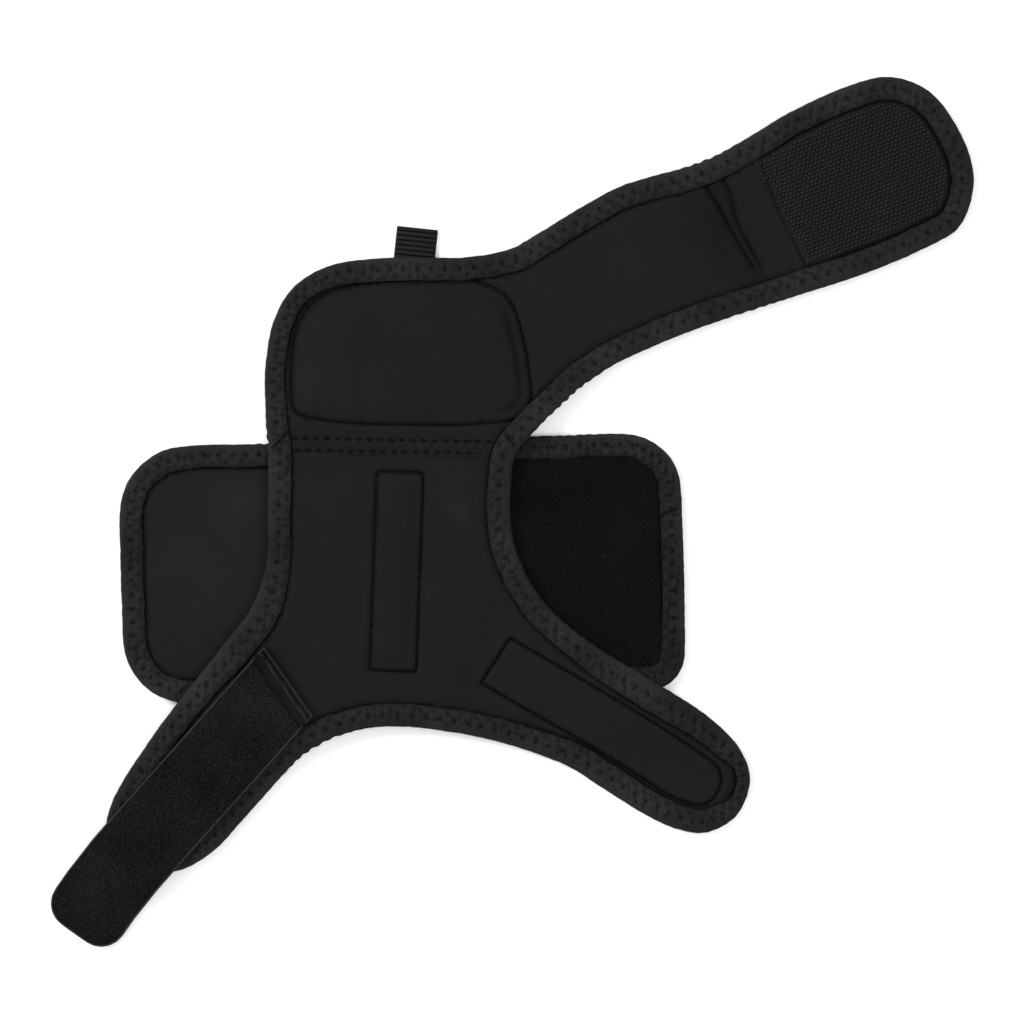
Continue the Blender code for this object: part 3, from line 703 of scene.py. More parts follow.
def body_height(xy):
    """The skin side's height over the body, and its painted shade in grooves, creases and under the
    tape's lip, less the light marks.
    """
    edge, _ = body_line.near(xy)
    reach = lip(xy)
    within = np.maximum(0, edge - reach)
    top = BODY_FACE - 0.75 * MM * bell(np.minimum(edge, reach) - reach, 1.5) * bell(within, 1.6)
    top -= 1.1 * MM * rolled_in(edge)
    top += 0.16 * MM * waves(xy, 34, 3) + 0.05 * MM * waves(xy, 9, 4)
    # painted shadow of the tape's lip on the panel just inside it
    painted_light_and_marks = 0.85 * bell(within, 0.75)
    # each sewn outline: its groove's depth and width, its darkness (painted shade in the groove and the
    # thread's dark colour) and how wide that spreads
    for line, depth, width, dark, spread in (
            (tape_line, 0.75, 0.60, 0.95, 0.55), (pad_line, 0.75, 0.8, 0.95, 0.75),
            (sleeve_line, 0.55, 0.6, 1.0, 0.60)):
        d, s = line.near(xy)
        top += groove(d, s, depth, width)
        painted_light_and_marks = np.maximum(painted_light_and_marks, dark * painted_line_shade(d, s, spread))
    for row in seam_rows:
        top += groove(*row.near(xy), 0.42, 0.55, SEAM_PITCH, 0.9)
    for line, depth, dark in creases:
        d, s = line.near(xy)
        end = ease(s, 0, 8) * ease(line.length - s, 0, 8)
        top += end * depth * MM * (0.55 * bell(d + 2.6 * MM, 1.6) - bell(d, 1.0))
        # painted shade in each crease, and a broad, fainter painted shade in the valley on its near side
        painted_light_and_marks = np.maximum(painted_light_and_marks, end * dark * bell(d, 0.85))
        painted_light_and_marks = np.maximum(painted_light_and_marks, end * 0.22 * bell(d + 5 * MM, 6))
    return top, painted_light_and_marks - spots(xy, PALM_MARKS)


def panels(parts, region, xy, tris, top, bottom, painted_light_and_marks):
    """A laminate cut into its bending pieces; the core's triangles are given back."""
    kept = None
    for k, (name, nodes, joint, under, _) in enumerate(parts):
        if not nodes:
            continue
        part = tris[region(xy[tris].mean(1)) % 5 == k]
        obj = slab("fabric_" + name, xy, part, top, bottom, painted_light_and_marks)
        dress(obj, NEOPRENE, "neoprene_laminate", joint or "palm", *nodes)
        if under:
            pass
        else:
            kept = obj, part
    return kept


FINE_ROWS = [0.0, 0.5 * MM, -0.5 * MM, 1.1 * MM, -1.1 * MM, 1.9 * MM, -1.9 * MM]
SEAM_ROWS = FINE_ROWS[:5]
COARSE_ROWS = [0.0, 0.8 * MM, -0.8 * MM, 1.7 * MM, -1.7 * MM]
panel_loop = even(shifted(body_edge, PANEL_IN), 1.3 * MM, True)
xy, tris = triangulate(
    panel_loop, 1.7 * MM,
    [(tape_line, FINE_ROWS), (seam_rows[0], SEAM_ROWS), (seam_rows[1], SEAM_ROWS),
     (creases[0][0], COARSE_ROWS), (creases[1][0], COARSE_ROWS), (pad_line, COARSE_ROWS),
     (sleeve_line, COARSE_ROWS[:3])],
    [crossing(panel_loop, name) for name in (
        "hand_strap_fold", "strap_tip_fold", "left_arm_fold", "right_arm_fold")])
sink = droop(xy)
top, painted_light_and_marks = body_height(xy)
bottom = BODY_BASE + UNDERSIDE + 0.05 * MM * waves(xy, 12, 5) - sink
bottom += 0.3 * MM * rolled_in(body_line.near(xy)[0])
core_panel, core_tris = panels(BODY_PARTS, body_region, xy, tris, top - sink, bottom, painted_light_and_marks)


# ---- binding tape

# where one length of tape laps over the next: a line across it
BODY_JOINS = (((-91.0, 18.4), (-82.6, 27.6)), ((-2.0, 27.8), (3.2, 20.8)))
BAND_JOINS = (((53.0, -2.0), (63.0, 2.5)),)
ZIGZAG_PITCH = 5.0 * MM
TAPE_STEP = 0.55 * MM
TAPE_THICK = 0.75 * MM


def sewn_marks(d, reach, phase):
    """How strongly the zigzag pulls at a tape's middle, and beside its lip."""
    middle = bell(d - reach * 0.5, 0.9) * np.clip(np.cos(phase), 0, 1) ** 2.5
    beside = bell(d - reach + 1.5 * MM, 0.6) * np.clip(-np.cos(phase), 0, 1) ** 3
    return middle, beside


def tape_face(at, d, reach, phase, jitter, step_down, joins, shade):
    """How far the tape's face lies from its top, and its painted shade, painted highlight and own blotchy
    tone.
    """
    hole, low = sewn_marks(d, reach, phase)
    z = 0.11 * MM * waves(at, 3.2, 71) + 0.07 * MM * waves(at, 1.7, 72) + 0.12 * MM * jitter
    z -= step_down * smoothstep(d, reach - 1.6 * MM, reach)
    z -= 0.30 * MM * bell(reach - d, 1.1) * (0.5 - 0.5 * np.cos(phase))
    z -= 0.75 * MM * hole + 0.35 * MM * low + 0.25 * MM * bell(d - 0.9 * MM, 1.2)
    z += 0.10 * MM * np.sin(phase * 0.5 + d / MM) * ease(d, 1, 4)
    z += 0.10 * MM * np.cos(phase) * bell(d - reach + 2.4 * MM, 1.0)
    # painted shade in the zigzag's dimples and a painted shadow where the tape turns under at its lip;
    # then the tape's own blotchy tone
    painted_light_and_marks = np.maximum(0.95 * hole, 0.75 * low)
    painted_light_and_marks = np.maximum(painted_light_and_marks, 0.45 * smoothstep(d, reach - 1.0 * MM, reach))
    painted_light_and_marks = np.maximum(painted_light_and_marks, 0.5 * np.clip(waves(at, 3.0, 73), 0, 1))
    # lighter blotches of the tape's own tone, and a painted highlight along the rolled outer edge
    painted_light_and_marks -= 0.09 * np.clip(waves(at, 2.6, 74), 0, 1) + 0.05 * bell(d - 1.3 * MM, 0.9)
    # painted shade: the band's tape is darker past x = 18 mm, where it lies in shade
    painted_light_and_marks += shade * ease(at[:, 0], 18, 30)
    for start, end in joins:
        start, end = np.array(start) * MM, np.array(end) * MM
        way = end - start
        length = norm(way)
        off = (at - start) @ np.array([-way[1], way[0]]) / length
        share = (at - start) @ way / length ** 2
        near = np.exp(-np.clip(np.abs(share - 0.5) - 0.6, 0, 9) / 0.05)
        # painted shade under the edge where one length of tape laps over the next
        painted_light_and_marks = np.maximum(painted_light_and_marks, near * 0.95 * bell(off, 0.55))
        z += near * MM * (0.35 * bell(off - 1.4 * MM, 1.0) - 0.3 * bell(off, 0.5))
    return z, painted_light_and_marks


def tape_back(at, d, reach, phase, jitter):
    """The same for the tape's underside: painted shade in the dimples, and the tape's own blotchy tone.
    """
    hole, low = sewn_marks(d, reach, phase)
    z = 0.05 * MM * jitter + 0.4 * MM * np.maximum(hole, low) + 0.06 * MM * waves(at, 3.2, 77)
    painted_light_and_marks = np.maximum(0.85 * hole, 0.7 * low)
    painted_light_and_marks = np.maximum(painted_light_and_marks, 0.5 * np.clip(waves(at, 3.0, 78), 0, 1))
    return z, painted_light_and_marks - 0.09 * np.clip(waves(at, 2.6, 79), 0, 1)


def tape_rings(curve, inward, s, base, face, top, joins, shade):
    """The folded tape as closed outlines along the edge: points, and painted shade, highlights and tone.
    """
    count, height = len(curve), top - base
    local = np.random.default_rng(11)

    def wander(spacing):
        at = np.arange(0, s[-1] + spacing, spacing)
        return np.interp(s, at, local.uniform(-1, 1, len(at)))

    jitter, slow = wander(3 * MM), wander(14 * MM)
    reach = lip(curve) + 0.22 * MM * jitter + 0.25 * MM * slow
    phase = 2 * math.pi * s / ZIGZAG_PITCH
    # how far in each point of the outline lies, as a share of the reach, and on which half
    turn = np.radians(np.array([78, 62, 45, 25, 0, -25, -45, -62, -78]))
    round_end = 0.30
    shares = np.concatenate([
        np.linspace(1.0, round_end, 12), round_end * (1 - np.cos(turn)), np.linspace(round_end, 1.0, 10)])
    halves = np.concatenate([np.ones(12), np.sin(turn), -np.ones(10)])
    pucker = 0.035 * MM + spots(curve, PUCKERS) * MM
    rings, painted_light_rings = [], []
    for share, half in zip(shares, halves):
        d = share * reach
        at = curve + inward * d[:, None]
        z, painted_light_and_marks = np.zeros(count), np.zeros(count)
        if half > 0.9:
            z, painted_light_and_marks = tape_face(at, d, reach, phase, jitter, top - face - 0.15 * MM, joins, shade)
        elif half < -0.9:
            z, painted_light_and_marks = tape_back(at, d, reach, phase, jitter)
        else:
            swing = 0.09 * MM * jitter + pucker * np.cos(phase * 1.25 + 2 * slow)
            at = at + inward * (swing * (1 - abs(half)))[:, None]
        rings.append(np.column_stack([at, base + height / 2 + half * height / 2 + z]))
        painted_light_rings.append(painted_light_and_marks)
    fold_in, fold_top, lip_in = 2 * TAPE_THICK, top - 1.6 * TAPE_THICK, reach - 0.3 * MM
    for into, z in ((lip_in, base + TAPE_THICK), (fold_in, base + TAPE_THICK),
                    (fold_in, fold_top), (lip_in, face - TAPE_THICK)):
        at = curve + inward * np.broadcast_to(into, count)[:, None]
        rings.append(np.column_stack([at, np.full(count, z)]))
        painted_light_rings.append(np.zeros(count))
    return np.array(rings), np.array(painted_light_rings)


def binding_tape(name, edge, base, face, top, parts, region, drape, joins, shade=0.0):
    """Folded tape swept round an edge, puckered by its zigzag stitches, cut into pieces."""
    curve = even(edge, TAPE_STEP, True)
    inward = normals(curve, True)
    count = len(curve)
    s = np.arange(count) * TAPE_STEP
    rings, painted_light_rings = tape_rings(curve, inward, s, base, face, top, joins, shade)
    if drape:
        rings[:, :, 2] -= droop(rings[:, :, :2].reshape(-1, 2)).reshape(rings.shape[:2])
    around = len(rings)
    girth = np.concatenate([[0], np.cumsum(norm(np.diff(rings[:, 0], axis=0), axis=1))])
    owner = region((curve + np.roll(curve, -1, 0)) / 2 + inward * LIP / 2)
    for label in sorted(set(owner.tolist())):
        panel, _, joint, _, nodes = parts[label]
        stations = np.nonzero(owner == label)[0]
        runs = np.split(stations, np.nonzero(np.diff(stations) > 1)[0] + 1)
        if len(runs) > 1 and runs[0][0] == 0 and runs[-1][-1] == count - 1:
            runs[0] = np.concatenate([runs.pop(), runs[0]])
        for n, run in enumerate(sorted(runs, key=len, reverse=True)):
            ids = list(run) + [(run[-1] + 1) % count]
            spans = len(ids) - 1
            uv = np.stack([np.repeat(np.arange(len(ids)) * TAPE_STEP + run[0] * TAPE_STEP, around),
                           np.tile(girth, len(ids))], 1)
            faces = ring_faces(len(ids), around)
            faces += [list(range(around)), [spans * around + j for j in range(around)][::-1]]
            obj = new_object(
                f"{name}_{label}_{n}", rings[:, ids].transpose(1, 0, 2).reshape(-1, 3), faces,
                plan_uv(uv), 60.0, painted_light_rings[:, ids].T.ravel())
            dress(obj, BINDING, "binding_tape", joint or "palm", *(nodes if n == 0 else ()))
    return curve, inward


body_tape = binding_tape("tape_body", body_edge, BODY_BASE, BODY_FACE, BODY_TOP, BODY_PARTS,
                         body_region, True, BODY_JOINS)


# ---- the wrist band

band_loop = even(shifted(band_edge, PANEL_IN), 1.3 * MM, True)
xy, tris = triangulate(band_loop, 1.9 * MM, (), [
    crossing(band_loop, name) for name in ("left_wing_fold", "right_wing_fold")])
edge_in = band_line.near(xy)[0]
top = BAND_FACE + 0.14 * MM * waves(xy, 30, 8) - 1.0 * MM * rolled_in(edge_in)
top -= 0.8 * MM * bell(np.minimum(edge_in, LIP) - LIP, 1.5) * bell(np.maximum(0, edge_in - LIP), 2.0)
# painted shadow of the tape's lip on the band just inside it, less the light marks on the left wing
painted_light_and_marks = 0.9 * bell(np.maximum(0, edge_in - lip(xy)), 0.8) - spots(xy, WING_MARKS)
panels(BAND_PARTS, band_region, xy, tris, top, UNDERSIDE + 0.3 * MM * rolled_in(edge_in), painted_light_and_marks)
# the band's tape gets extra painted shade (0.18) past x = 18 mm
band_tape = binding_tape("tape_band", band_edge, 0.0, BAND_FACE, BAND_TOP, BAND_PARTS,
                         band_region, False, BAND_JOINS, 0.18)


# ---- napped loops

def tufts(name, centres, heights, seed, size=0.55 * MM):
    """Small open loops of fibre standing on a napped face."""
    local = np.random.default_rng(seed)
    count = len(centres)
    angle = local.uniform(0, 2 * math.pi, count)
    span = local.uniform(0.5, 1.3, count) * size
    rise = local.uniform(0.35, 1.0, count) * size
    width = local.uniform(0.05, 0.09, count) * MM
    lean = local.uniform(-0.5, 0.5, (count, 2)) * size
    way = np.stack([np.cos(angle), np.sin(angle)], 1)
    side = np.stack([-way[:, 1], way[:, 0]], 1)
    verts, uv = [], []
    steps = 5
    for k in range(steps):
        t = k / (steps - 1)
        arc = math.sin(math.pi * t)
        middle = centres + way * (span * (t - 0.5))[:, None] + lean * arc
        for sign in (-1, 1):
            verts.append(np.column_stack([
                middle + side * (sign * width)[:, None], heights - 0.1 * MM + rise * arc]))
            uv.append(plan_uv(middle))
    base = np.arange(count)[:, None, None] * steps * 2
    faces = base + np.array(ring_faces(steps, 2, wrap=False, turned=True))
    return new_object(name, np.stack(verts, 1).reshape(-1, 3), faces.reshape(-1, 4).tolist(),
                      np.stack(uv, 1).reshape(-1, 2), 180.0)


def scatter(loop, count, seed, margin):
    """Random points in a loop, kept off its edge."""
    points = np.random.default_rng(seed).uniform(loop.min(0), loop.max(0), (count, 2))
    points = points[inside(points, loop)]
    return points[Line(loop, True, 0.8 * MM).far(points) > margin]


pile_loop = clip(even(shifted(band_edge, LIP + 0.2 * MM), 1.0 * MM, True),
                 np.array([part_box("centre_loop_pile")[0][0], 0.0]), np.array([1.0, 0.0]))
xy, tris = triangulate(pile_loop, 1.0 * MM, (), [crossing(pile_loop, "right_wing_fold")])
nap = np.clip(0.16 * MM * np.random.default_rng(21).normal(size=len(xy)), -0.3 * MM, 0.4 * MM)
top = PILE_TOP - 0.45 * MM + nap - 0.35 * MM * bell(Line(pile_loop, True).far(xy), 0.8)
for k, (name, on, node, under) in enumerate((
        ("pile_centre", "palm", "centre_loop_pile", "fabric_band_centre"),
        ("pile_wing", "right_wing_fold", "right_wing_loop_pile", "fabric_right_wing"))):
    part = tris[cut_off(xy[tris].mean(1), "right_wing_fold") == bool(k)]
    obj = slab("nap_" + name, xy, part, top, PILE_BASE - 0.3 * MM)
    dress(obj, PILE, "loop_pile", on, node)
    at = scatter(pile_loop, 16000, 31 + k, 0.5 * MM)
    at = at[cut_off(at, "right_wing_fold") == bool(k)]
    if k == 0:
        # only where the body doesn't cover the pile
        at = at[body_line.near(at)[0] < 1.5 * MM]
    fibre = tufts("loops_" + name, at, np.full(len(at), PILE_TOP - 0.5 * MM), 41 + k)
    dress(fibre, LOOPS, "loop_pile", on)


# ---- the loop strap

STRAP_SKIN = STRAP_TOP - 0.62 * MM


def without_cut(node):
    """A strap piece's outline without the edge where the two pieces meet, in order."""
    loop = outline(node, STRAP_TOP)
    on_cut = np.abs(past(loop, "loop_strap_lift")) < 0.7 * MM
    start = next(i for i in range(len(loop)) if not on_cut[i] and on_cut[i - 1])
    return np.roll(loop, -start, 0)[:np.count_nonzero(~on_cut)]


def strap_sink(xy):
    """The strap follows the arm under it, then sinks to the floor past the arm's tip."""
    beyond = np.maximum(0, -body_line.near(xy)[0])
    rest = droop(xy)
    rest = rest + (STRAP_BASE - 0.3 * MM - rest) * ease(beyond, 1, 16)
    return rest - 0.15 * MM * waves(xy, 40, 12)


def from_sewn_end(xy):
    return past(xy, "loop_strap_lift") - sewn_edge


strap_loop = np.vstack([without_cut("loop_strap_sewn_end"), without_cut("loop_strap")])
sewn_edge = min(past(strap_loop, "loop_strap_lift"))
strap_dense = even(strap_loop, 0.5 * MM, True)
strap_line = Line(strap_dense, True)
strap_rows = [-0.5 * MM, -1.0 * MM, -1.6 * MM, 0.5 * MM, 1.0 * MM, 1.6 * MM]
xy, tris = triangulate(strap_dense, 1.0 * MM, [(strap_line, strap_rows)])
d = strap_line.far(xy)
along = from_sewn_end(xy)
nap = np.clip(0.12 * MM * np.random.default_rng(22).normal(size=len(xy)), -0.25 * MM, 0.3 * MM)
top = STRAP_SKIN + nap * ease(d, 1.2, 1.9) + 0.22 * MM * bell(d - 0.7 * MM, 0.55)
top += -0.3 * MM * ease(-d, -0.5, 0) + 0.30 * MM * (1 - ease(along, 6.2, 7.4))
for at in (1.5, 3.4, 6.6):
    top -= 0.34 * MM * bell(along - at * MM, 0.5)
# painted shade in the grooves across the strap's folded, sewn end, and painted highlights on the ridges
# between them
painted_light_and_marks = 0.6 * bell(along - 1.9 * MM, 0.5) + 0.5 * bell(along - 6.6 * MM, 0.6)
for at in (0.9, 2.9):
    painted_light_and_marks -= 0.28 * bell(along - at * MM, 0.4)
sink = strap_sink(xy)
strap = slab("loop_strap_cloth", xy, tris, top - sink, STRAP_BASE - sink, painted_light_and_marks)
at = scatter(strap_dense, 24000, 51, 1.3 * MM)
at = at[from_sewn_end(at) > 7.2 * MM]
fibre = tufts("loop_strap_loops", at, STRAP_TOP - 0.65 * MM - strap_sink(at), 52, 0.80 * MM)

# the selvedge along the sides and the far end
sides = strap_dense[from_sewn_end(strap_dense) > 0.15 * MM]
gaps = norm(np.diff(np.vstack([sides, sides[:1]]), axis=0), axis=1)
side_line = Line(np.roll(sides, -np.argmax(gaps) - 1, 0))
rows = []
for out, up in ((0.02, -0.30), (0.18, 0.20), (0.42, 0.32), (0.66, 0.22), (0.85, -0.10)):
    at = side_line.points + side_line.normal * out * MM
    rows.append(np.column_stack([at, STRAP_SKIN - strap_sink(at) + up * MM]))
count = len(side_line.points)
uv = np.stack([np.repeat(np.arange(count) * 0.4, 5), np.tile(np.arange(5) * 0.4, count)], 1) / 100
rib = new_object("loop_strap_selvedge", np.array(rows).transpose(1, 0, 2).reshape(-1, 3),
                 ring_faces(count, 5, wrap=False), uv, 70.0)
dress(strap, STRAP_PILE, "loop_webbing", "loop_strap_lift", "loop_strap", "loop_strap_sewn_end")
dress(fibre, STRAP_LOOPS, "loop_webbing", "loop_strap_lift")
dress(rib, SELVEDGE_HIGHLIT, "loop_webbing", "loop_strap_lift")


# ---- the hand strap's hook patch

def patch_height(xy):
    return BODY_FACE + 0.75 * MM - droop(xy)


def hooks(name, loop, height_of, pitch, radius, tall, way, margin):
    """Rows of small moulded hooks, each a stem with a bent head; a negative height hangs down."""
    side = np.array([-way[1], way[0]])
    centre = loop.mean(0)
    n = int(norm(loop - centre, axis=1).max() / pitch) + 2
    at = np.array([centre + way * (i + 0.5 * (j % 2)) * pitch + side * j * pitch * 0.866
                   for i in range(-n, n + 1) for j in range(-n, n + 1)])
    at = at[inside(at, loop)]
    at = at[Line(loop, True, 0.8 * MM).far(at) > margin]
    at = at + np.random.default_rng(61).normal(size=at.shape) * 0.06 * pitch
    sides = 6
    turn = np.arange(sides) * 2 * math.pi / sides
    base = height_of(at)
    # each ring of a hook: its radius, height and lean
    profile = ((1.0, 0.0, 0.0), (0.72, 0.45, 0.0), (1.25, 0.72, 0.25), (1.05, 0.92, 0.45),
               (0.35, 1.0, 0.5))
    rings = []
    for r, h, lean in profile:
        ahead, beside = r * np.cos(turn) + lean, r * np.sin(turn) * 0.8
        x = at[:, None, 0] + radius * (ahead * way[0] - beside * way[1])
        y = at[:, None, 1] + radius * (ahead * way[1] + beside * way[0])
        rings.append(np.stack([x, y, np.repeat((base + tall * h)[:, None], sides, 1)], 2))
    verts = np.stack(rings, 1)
    layers = len(profile)
    faces = []
    for n in range(len(verts)):
        start = n * layers * sides
        faces += ring_faces(layers, sides, start, turned=True)
        faces.append([start + (layers - 1) * sides + j for j in range(sides)])
    if tall < 0:
        faces = [face[::-1] for face in faces]
    verts = verts.reshape(-1, 3)
    return new_object(name, verts, faces, plan_uv(verts[:, :2]), 70.0)


patch_dense = even(patch_loop, 0.8 * MM, True)
xy, tris = triangulate(patch_dense, 0.7 * MM)
d = Line(patch_dense, True).far(xy)
along = (xy - patch_loop[np.argmin((patch_loop - tip_at) @ tip_loose)]) @ tip_loose
rim = bell(along - 0.9 * MM, 0.65)
top = patch_height(xy) - 0.35 * MM * bell(d, 0.7) + 0.25 * MM * rim
# painted highlight on the raised rim at the patch's folded edge, painted shade beside it and along the
# patch's outline
painted_light_and_marks = np.maximum(0.75 * bell(along - 2.2 * MM, 0.6) - 0.8 * rim, 0.8 * bell(d, 0.8) * ease(along, 2, 4))
patch = slab("hook_patch_base", xy, tris, top, BODY_FACE - 0.6 * MM - droop(xy), painted_light_and_marks)
dress(patch, PLASTIC, "hook_tape", "strap_tip", "hand_hook_patch")
teeth = hooks("hook_patch_hooks", patch_dense, patch_height, 1.6 * MM, 0.42 * MM, 0.85 * MM,
              tip_loose, 1.3 * MM)
dress(teeth, HOOK, "hook_tape", "strap_tip")


# ---- pad and sleeve

def pad_swell(xy, tris, start):
    """The pad's cover blown up a little from its stitch line by a cloth simulation."""
    mesh = bpy.data.meshes.new("pad_sim")
    mesh.from_pydata(np.column_stack([xy, start]).tolist(), [], tris.tolist())
    obj = bpy.data.objects.new("pad_sim", mesh)
    bpy.context.collection.objects.link(obj)
    pinned = np.nonzero(pad_line.far(xy) < 0.8 * MM)[0]
    obj.vertex_groups.new(name="pin").add([int(i) for i in pinned], 1.0, "REPLACE")
    cloth = obj.modifiers.new("Cloth", "CLOTH")
    for key, value in {
            "quality": 8, "mass": 0.15, "tension_stiffness": 12, "compression_stiffness": 12,
            "shear_stiffness": 4, "bending_stiffness": 0.35, "vertex_group_mass": "pin",
            "use_pressure": True, "uniform_pressure_force": 4.0, "shrink_min": -0.03}.items():
        setattr(cloth.settings, key, value)
    cloth.settings.effector_weights.gravity = 0.0
    cloth.collision_settings.use_collision = False
    last = 20
    cloth.point_cache.frame_start, cloth.point_cache.frame_end = 1, last
    scene = bpy.context.scene
    for f in range(1, last + 1):
        scene.frame_set(f)
    evaluated = obj.evaluated_get(bpy.context.evaluated_depsgraph_get())
    heights = np.array([v.co[2] for v in evaluated.to_mesh().vertices])
    scene.frame_set(1)
    bpy.data.objects.remove(obj, do_unlink=True)
    return np.clip(heights - start, 0, None)


pad_dense = even(pad_line.points, 1.0 * MM, True)
xy, tris = triangulate(pad_dense, 1.5 * MM)
d, s = pad_line.near(xy)
d = np.abs(d)
rise = (PAD_TOP - BODY_FACE) * 0.80
crown = rise * (1 - np.exp(-(d / (6.5 * MM)) ** 1.3))
start = BODY_FACE - 0.1 * MM + crown * 0.35
swell = pad_swell(xy, tris, start)
top = start + 0.35 * crown + 0.42 * swell * min(rise / max(swell.max(), 1e-6), 1.0)
# a second line shows inside the pad's right edge: a soft crease, dented and drawn in painted shade
inner_pad = Line(shifted(pad_line.points, 4.0 * MM)[
    pad_line.points[:, 0] > np.percentile(pad_line.points[:, 0], 72)])
inner = inner_pad.far(xy)
pad_mid = (pad_line.points.min(0) + pad_line.points.max(0)) / 2
shown = ease(d, 1.5, 3) * ease(xy[:, 0] - pad_mid[0], 28, 36)
shown *= 1 - ease(np.abs(xy[:, 1] - pad_mid[1]), 18, 27)
sink = droop(xy)
top += 0.10 * MM * waves(xy, 22, 15) - 0.35 * MM * bell(inner, 0.9) * shown - sink
# painted shade in the stitch groove round the pad and along its inner crease
painted_light_and_marks = np.maximum(0.95 * painted_line_shade(d, s, 0.9), 0.5 * bell(inner, 1.0) * shown)
pad = slab("pad_cushion", xy, tris, top, BODY_FACE - 0.9 * MM - sink, painted_light_and_marks)
dress(pad, NEOPRENE, "neoprene_laminate", "palm", "pad_cover", "pad_foam")

sleeve_dense = even(sleeve_loop, 0.8 * MM, True)
sleeve_turn = math.radians(2.05)
xy, tris = triangulate(sleeve_dense, 0.9 * MM)
d, s = sleeve_line.near(xy)
d = np.abs(d)
sink = droop(xy)
top = BODY_FACE + 0.10 * MM + (SLEEVE_TOP - BODY_FACE - 1.6 * MM) * ease(d, 0.3, 7.5)
top -= 0.35 * MM * bell(d, 0.6) * (1 - 0.4 * np.cos(2 * math.pi * s / (SLEEVE_PITCH * MM)))
top += 0.06 * MM * waves(xy, 14, 16) - sink
along = np.abs((xy - sleeve_dense.mean(0)) @ np.array([math.sin(sleeve_turn), math.cos(sleeve_turn)]))
# painted shade in the stitch groove, darker at the sleeve's ends where the cloth folds
painted_light_and_marks = (0.62 + 0.38 * ease(along, 33, 35.5)) * painted_line_shade(d, s, 0.85, SLEEVE_PITCH)
sleeve = slab("stay_sleeve_cloth", xy, tris, top, BODY_FACE - 0.8 * MM - sink, painted_light_and_marks)
dress(sleeve, NEOPRENE, "neoprene_laminate", "palm", "stay_sleeve", "stay")


# ---- seam tape

seam_dense = even(seam_loop, 0.8 * MM, True)
xy, tris = triangulate(seam_dense, 1.1 * MM, [(row, SEAM_ROWS) for row in seam_rows])
edge_in = Line(seam_dense, True).far(xy)
sink = droop(xy)
top = BODY_FACE + 0.42 * MM - 0.25 * MM * bell(edge_in, 0.6) + 0.07 * MM * waves(xy, 7, 17) - sink
# painted shade along the tape's edges, and the tape's own blotchy tone
painted_light_and_marks = np.maximum(0.20 * bell(edge_in, 0.7), 0.30 * np.clip(waves(xy, 2.2, 76), 0, 1))
for row, dark in zip(seam_rows, (0.8, 0.6)):
    d, s = row.near(xy)
    top += groove(d, s, 0.34, 0.5, SEAM_PITCH, 0.95)
    # dark dashes of the stitches: the thread's colour, with painted shade in its holes
    wander = 0.25 * waves(np.column_stack([s, np.full(len(s), row.length)]), 9, 75)
    dash = np.clip(0.2 - np.cos(2 * math.pi * s / (SEAM_PITCH * MM)) + wander, 0, 1)
    painted_light_and_marks = np.maximum(painted_light_and_marks, dark * dash * bell(d, 0.55))
seam = slab("seam_tape_cloth", xy, tris, top, BODY_FACE - 0.5 * MM - sink, painted_light_and_marks)
dress(seam, NEOPRENE, "binding_tape", "palm", "seam_tape")


# ---- threads

def stitches(name, runs, radius, material, slot, on):
    """Small arched tubes, one for each (start, end, height at start, height at end) stitch."""
    verts, faces = [], []
    sides, steps = 5, 5
    for a, b, za, zb in runs:
        length = norm(b - a)
        if length < 1e-6:
            continue
        way = (b - a) / length
        across = np.array([-way[1], way[0]])
        base = len(verts)
        for k in range(steps):
            t = k / (steps - 1)
            p = a + (b - a) * t
            z = za + (zb - za) * t + radius * (1.3 * math.sin(math.pi * t) - 0.35)
            for j in range(sides):
                angle = 2 * math.pi * j / sides
                x, y = p + across * radius * math.cos(angle)
                verts.append((x, y, z + radius * math.sin(angle)))
        faces += ring_faces(steps, sides, base, turned=True)
        faces.append([base + j for j in range(sides)][::-1])
        faces.append([base + (steps - 1) * sides + j for j in range(sides)])
    verts = np.array(verts)
    dress(new_object(name, verts, faces, plan_uv(verts[:, :2]), 80.0), material, slot, on)


def stitched(line, pitch, gap, lift):
    """Stitches along a line, at a height over the body's face."""
    points = np.vstack([line.points, line.points[:1]]) if line.closed else line.points
    arc = np.linspace(0, line.length, len(points))
    at = []
    s = 0.0
    while s + pitch * MM <= line.length + 1e-9:
        at.append((s + gap * MM / 2, s + pitch * MM - gap * MM / 2))
        s += pitch * MM
    ends = [np.stack([np.interp(side, arc, points[:, k]) for k in (0, 1)], 1) for side in zip(*at)]
    return list(zip(*ends, *(BODY_FACE + lift * MM - droop(side) for side in ends)))


def zigzags(name, tape, region, parts, height, drape):
    """The zigzag that holds the binding, from its middle to its lip and back."""
    curve, inward = tape
    ends = []
    for m in range(2 * len(curve)):
        at = m * ZIGZAG_PITCH / 2
        if at >= (len(curve) - 1) * TAPE_STEP:
            break
        i = int(round(at / TAPE_STEP)) % len(curve)
        reach = lip(curve[i:i + 1])[0]
        ends.append(curve[i] + inward[i] * (reach * 0.5 if m % 2 == 0 else reach - 1.5 * MM))
    ends = np.array(ends)
    z = height - (droop(ends) if drape else np.zeros(len(ends)))
    owner = region((ends[:-1] + ends[1:]) / 2)
    for label in dict.fromkeys(owner.tolist()):
        runs = [(ends[i], ends[i + 1], z[i], z[i + 1]) for i in np.nonzero(owner == label)[0]]
        on = parts[label][2] or "palm"
        stitches(f"{name}_{label}", runs, 0.17 * MM, THREAD, "binding_tape", on)


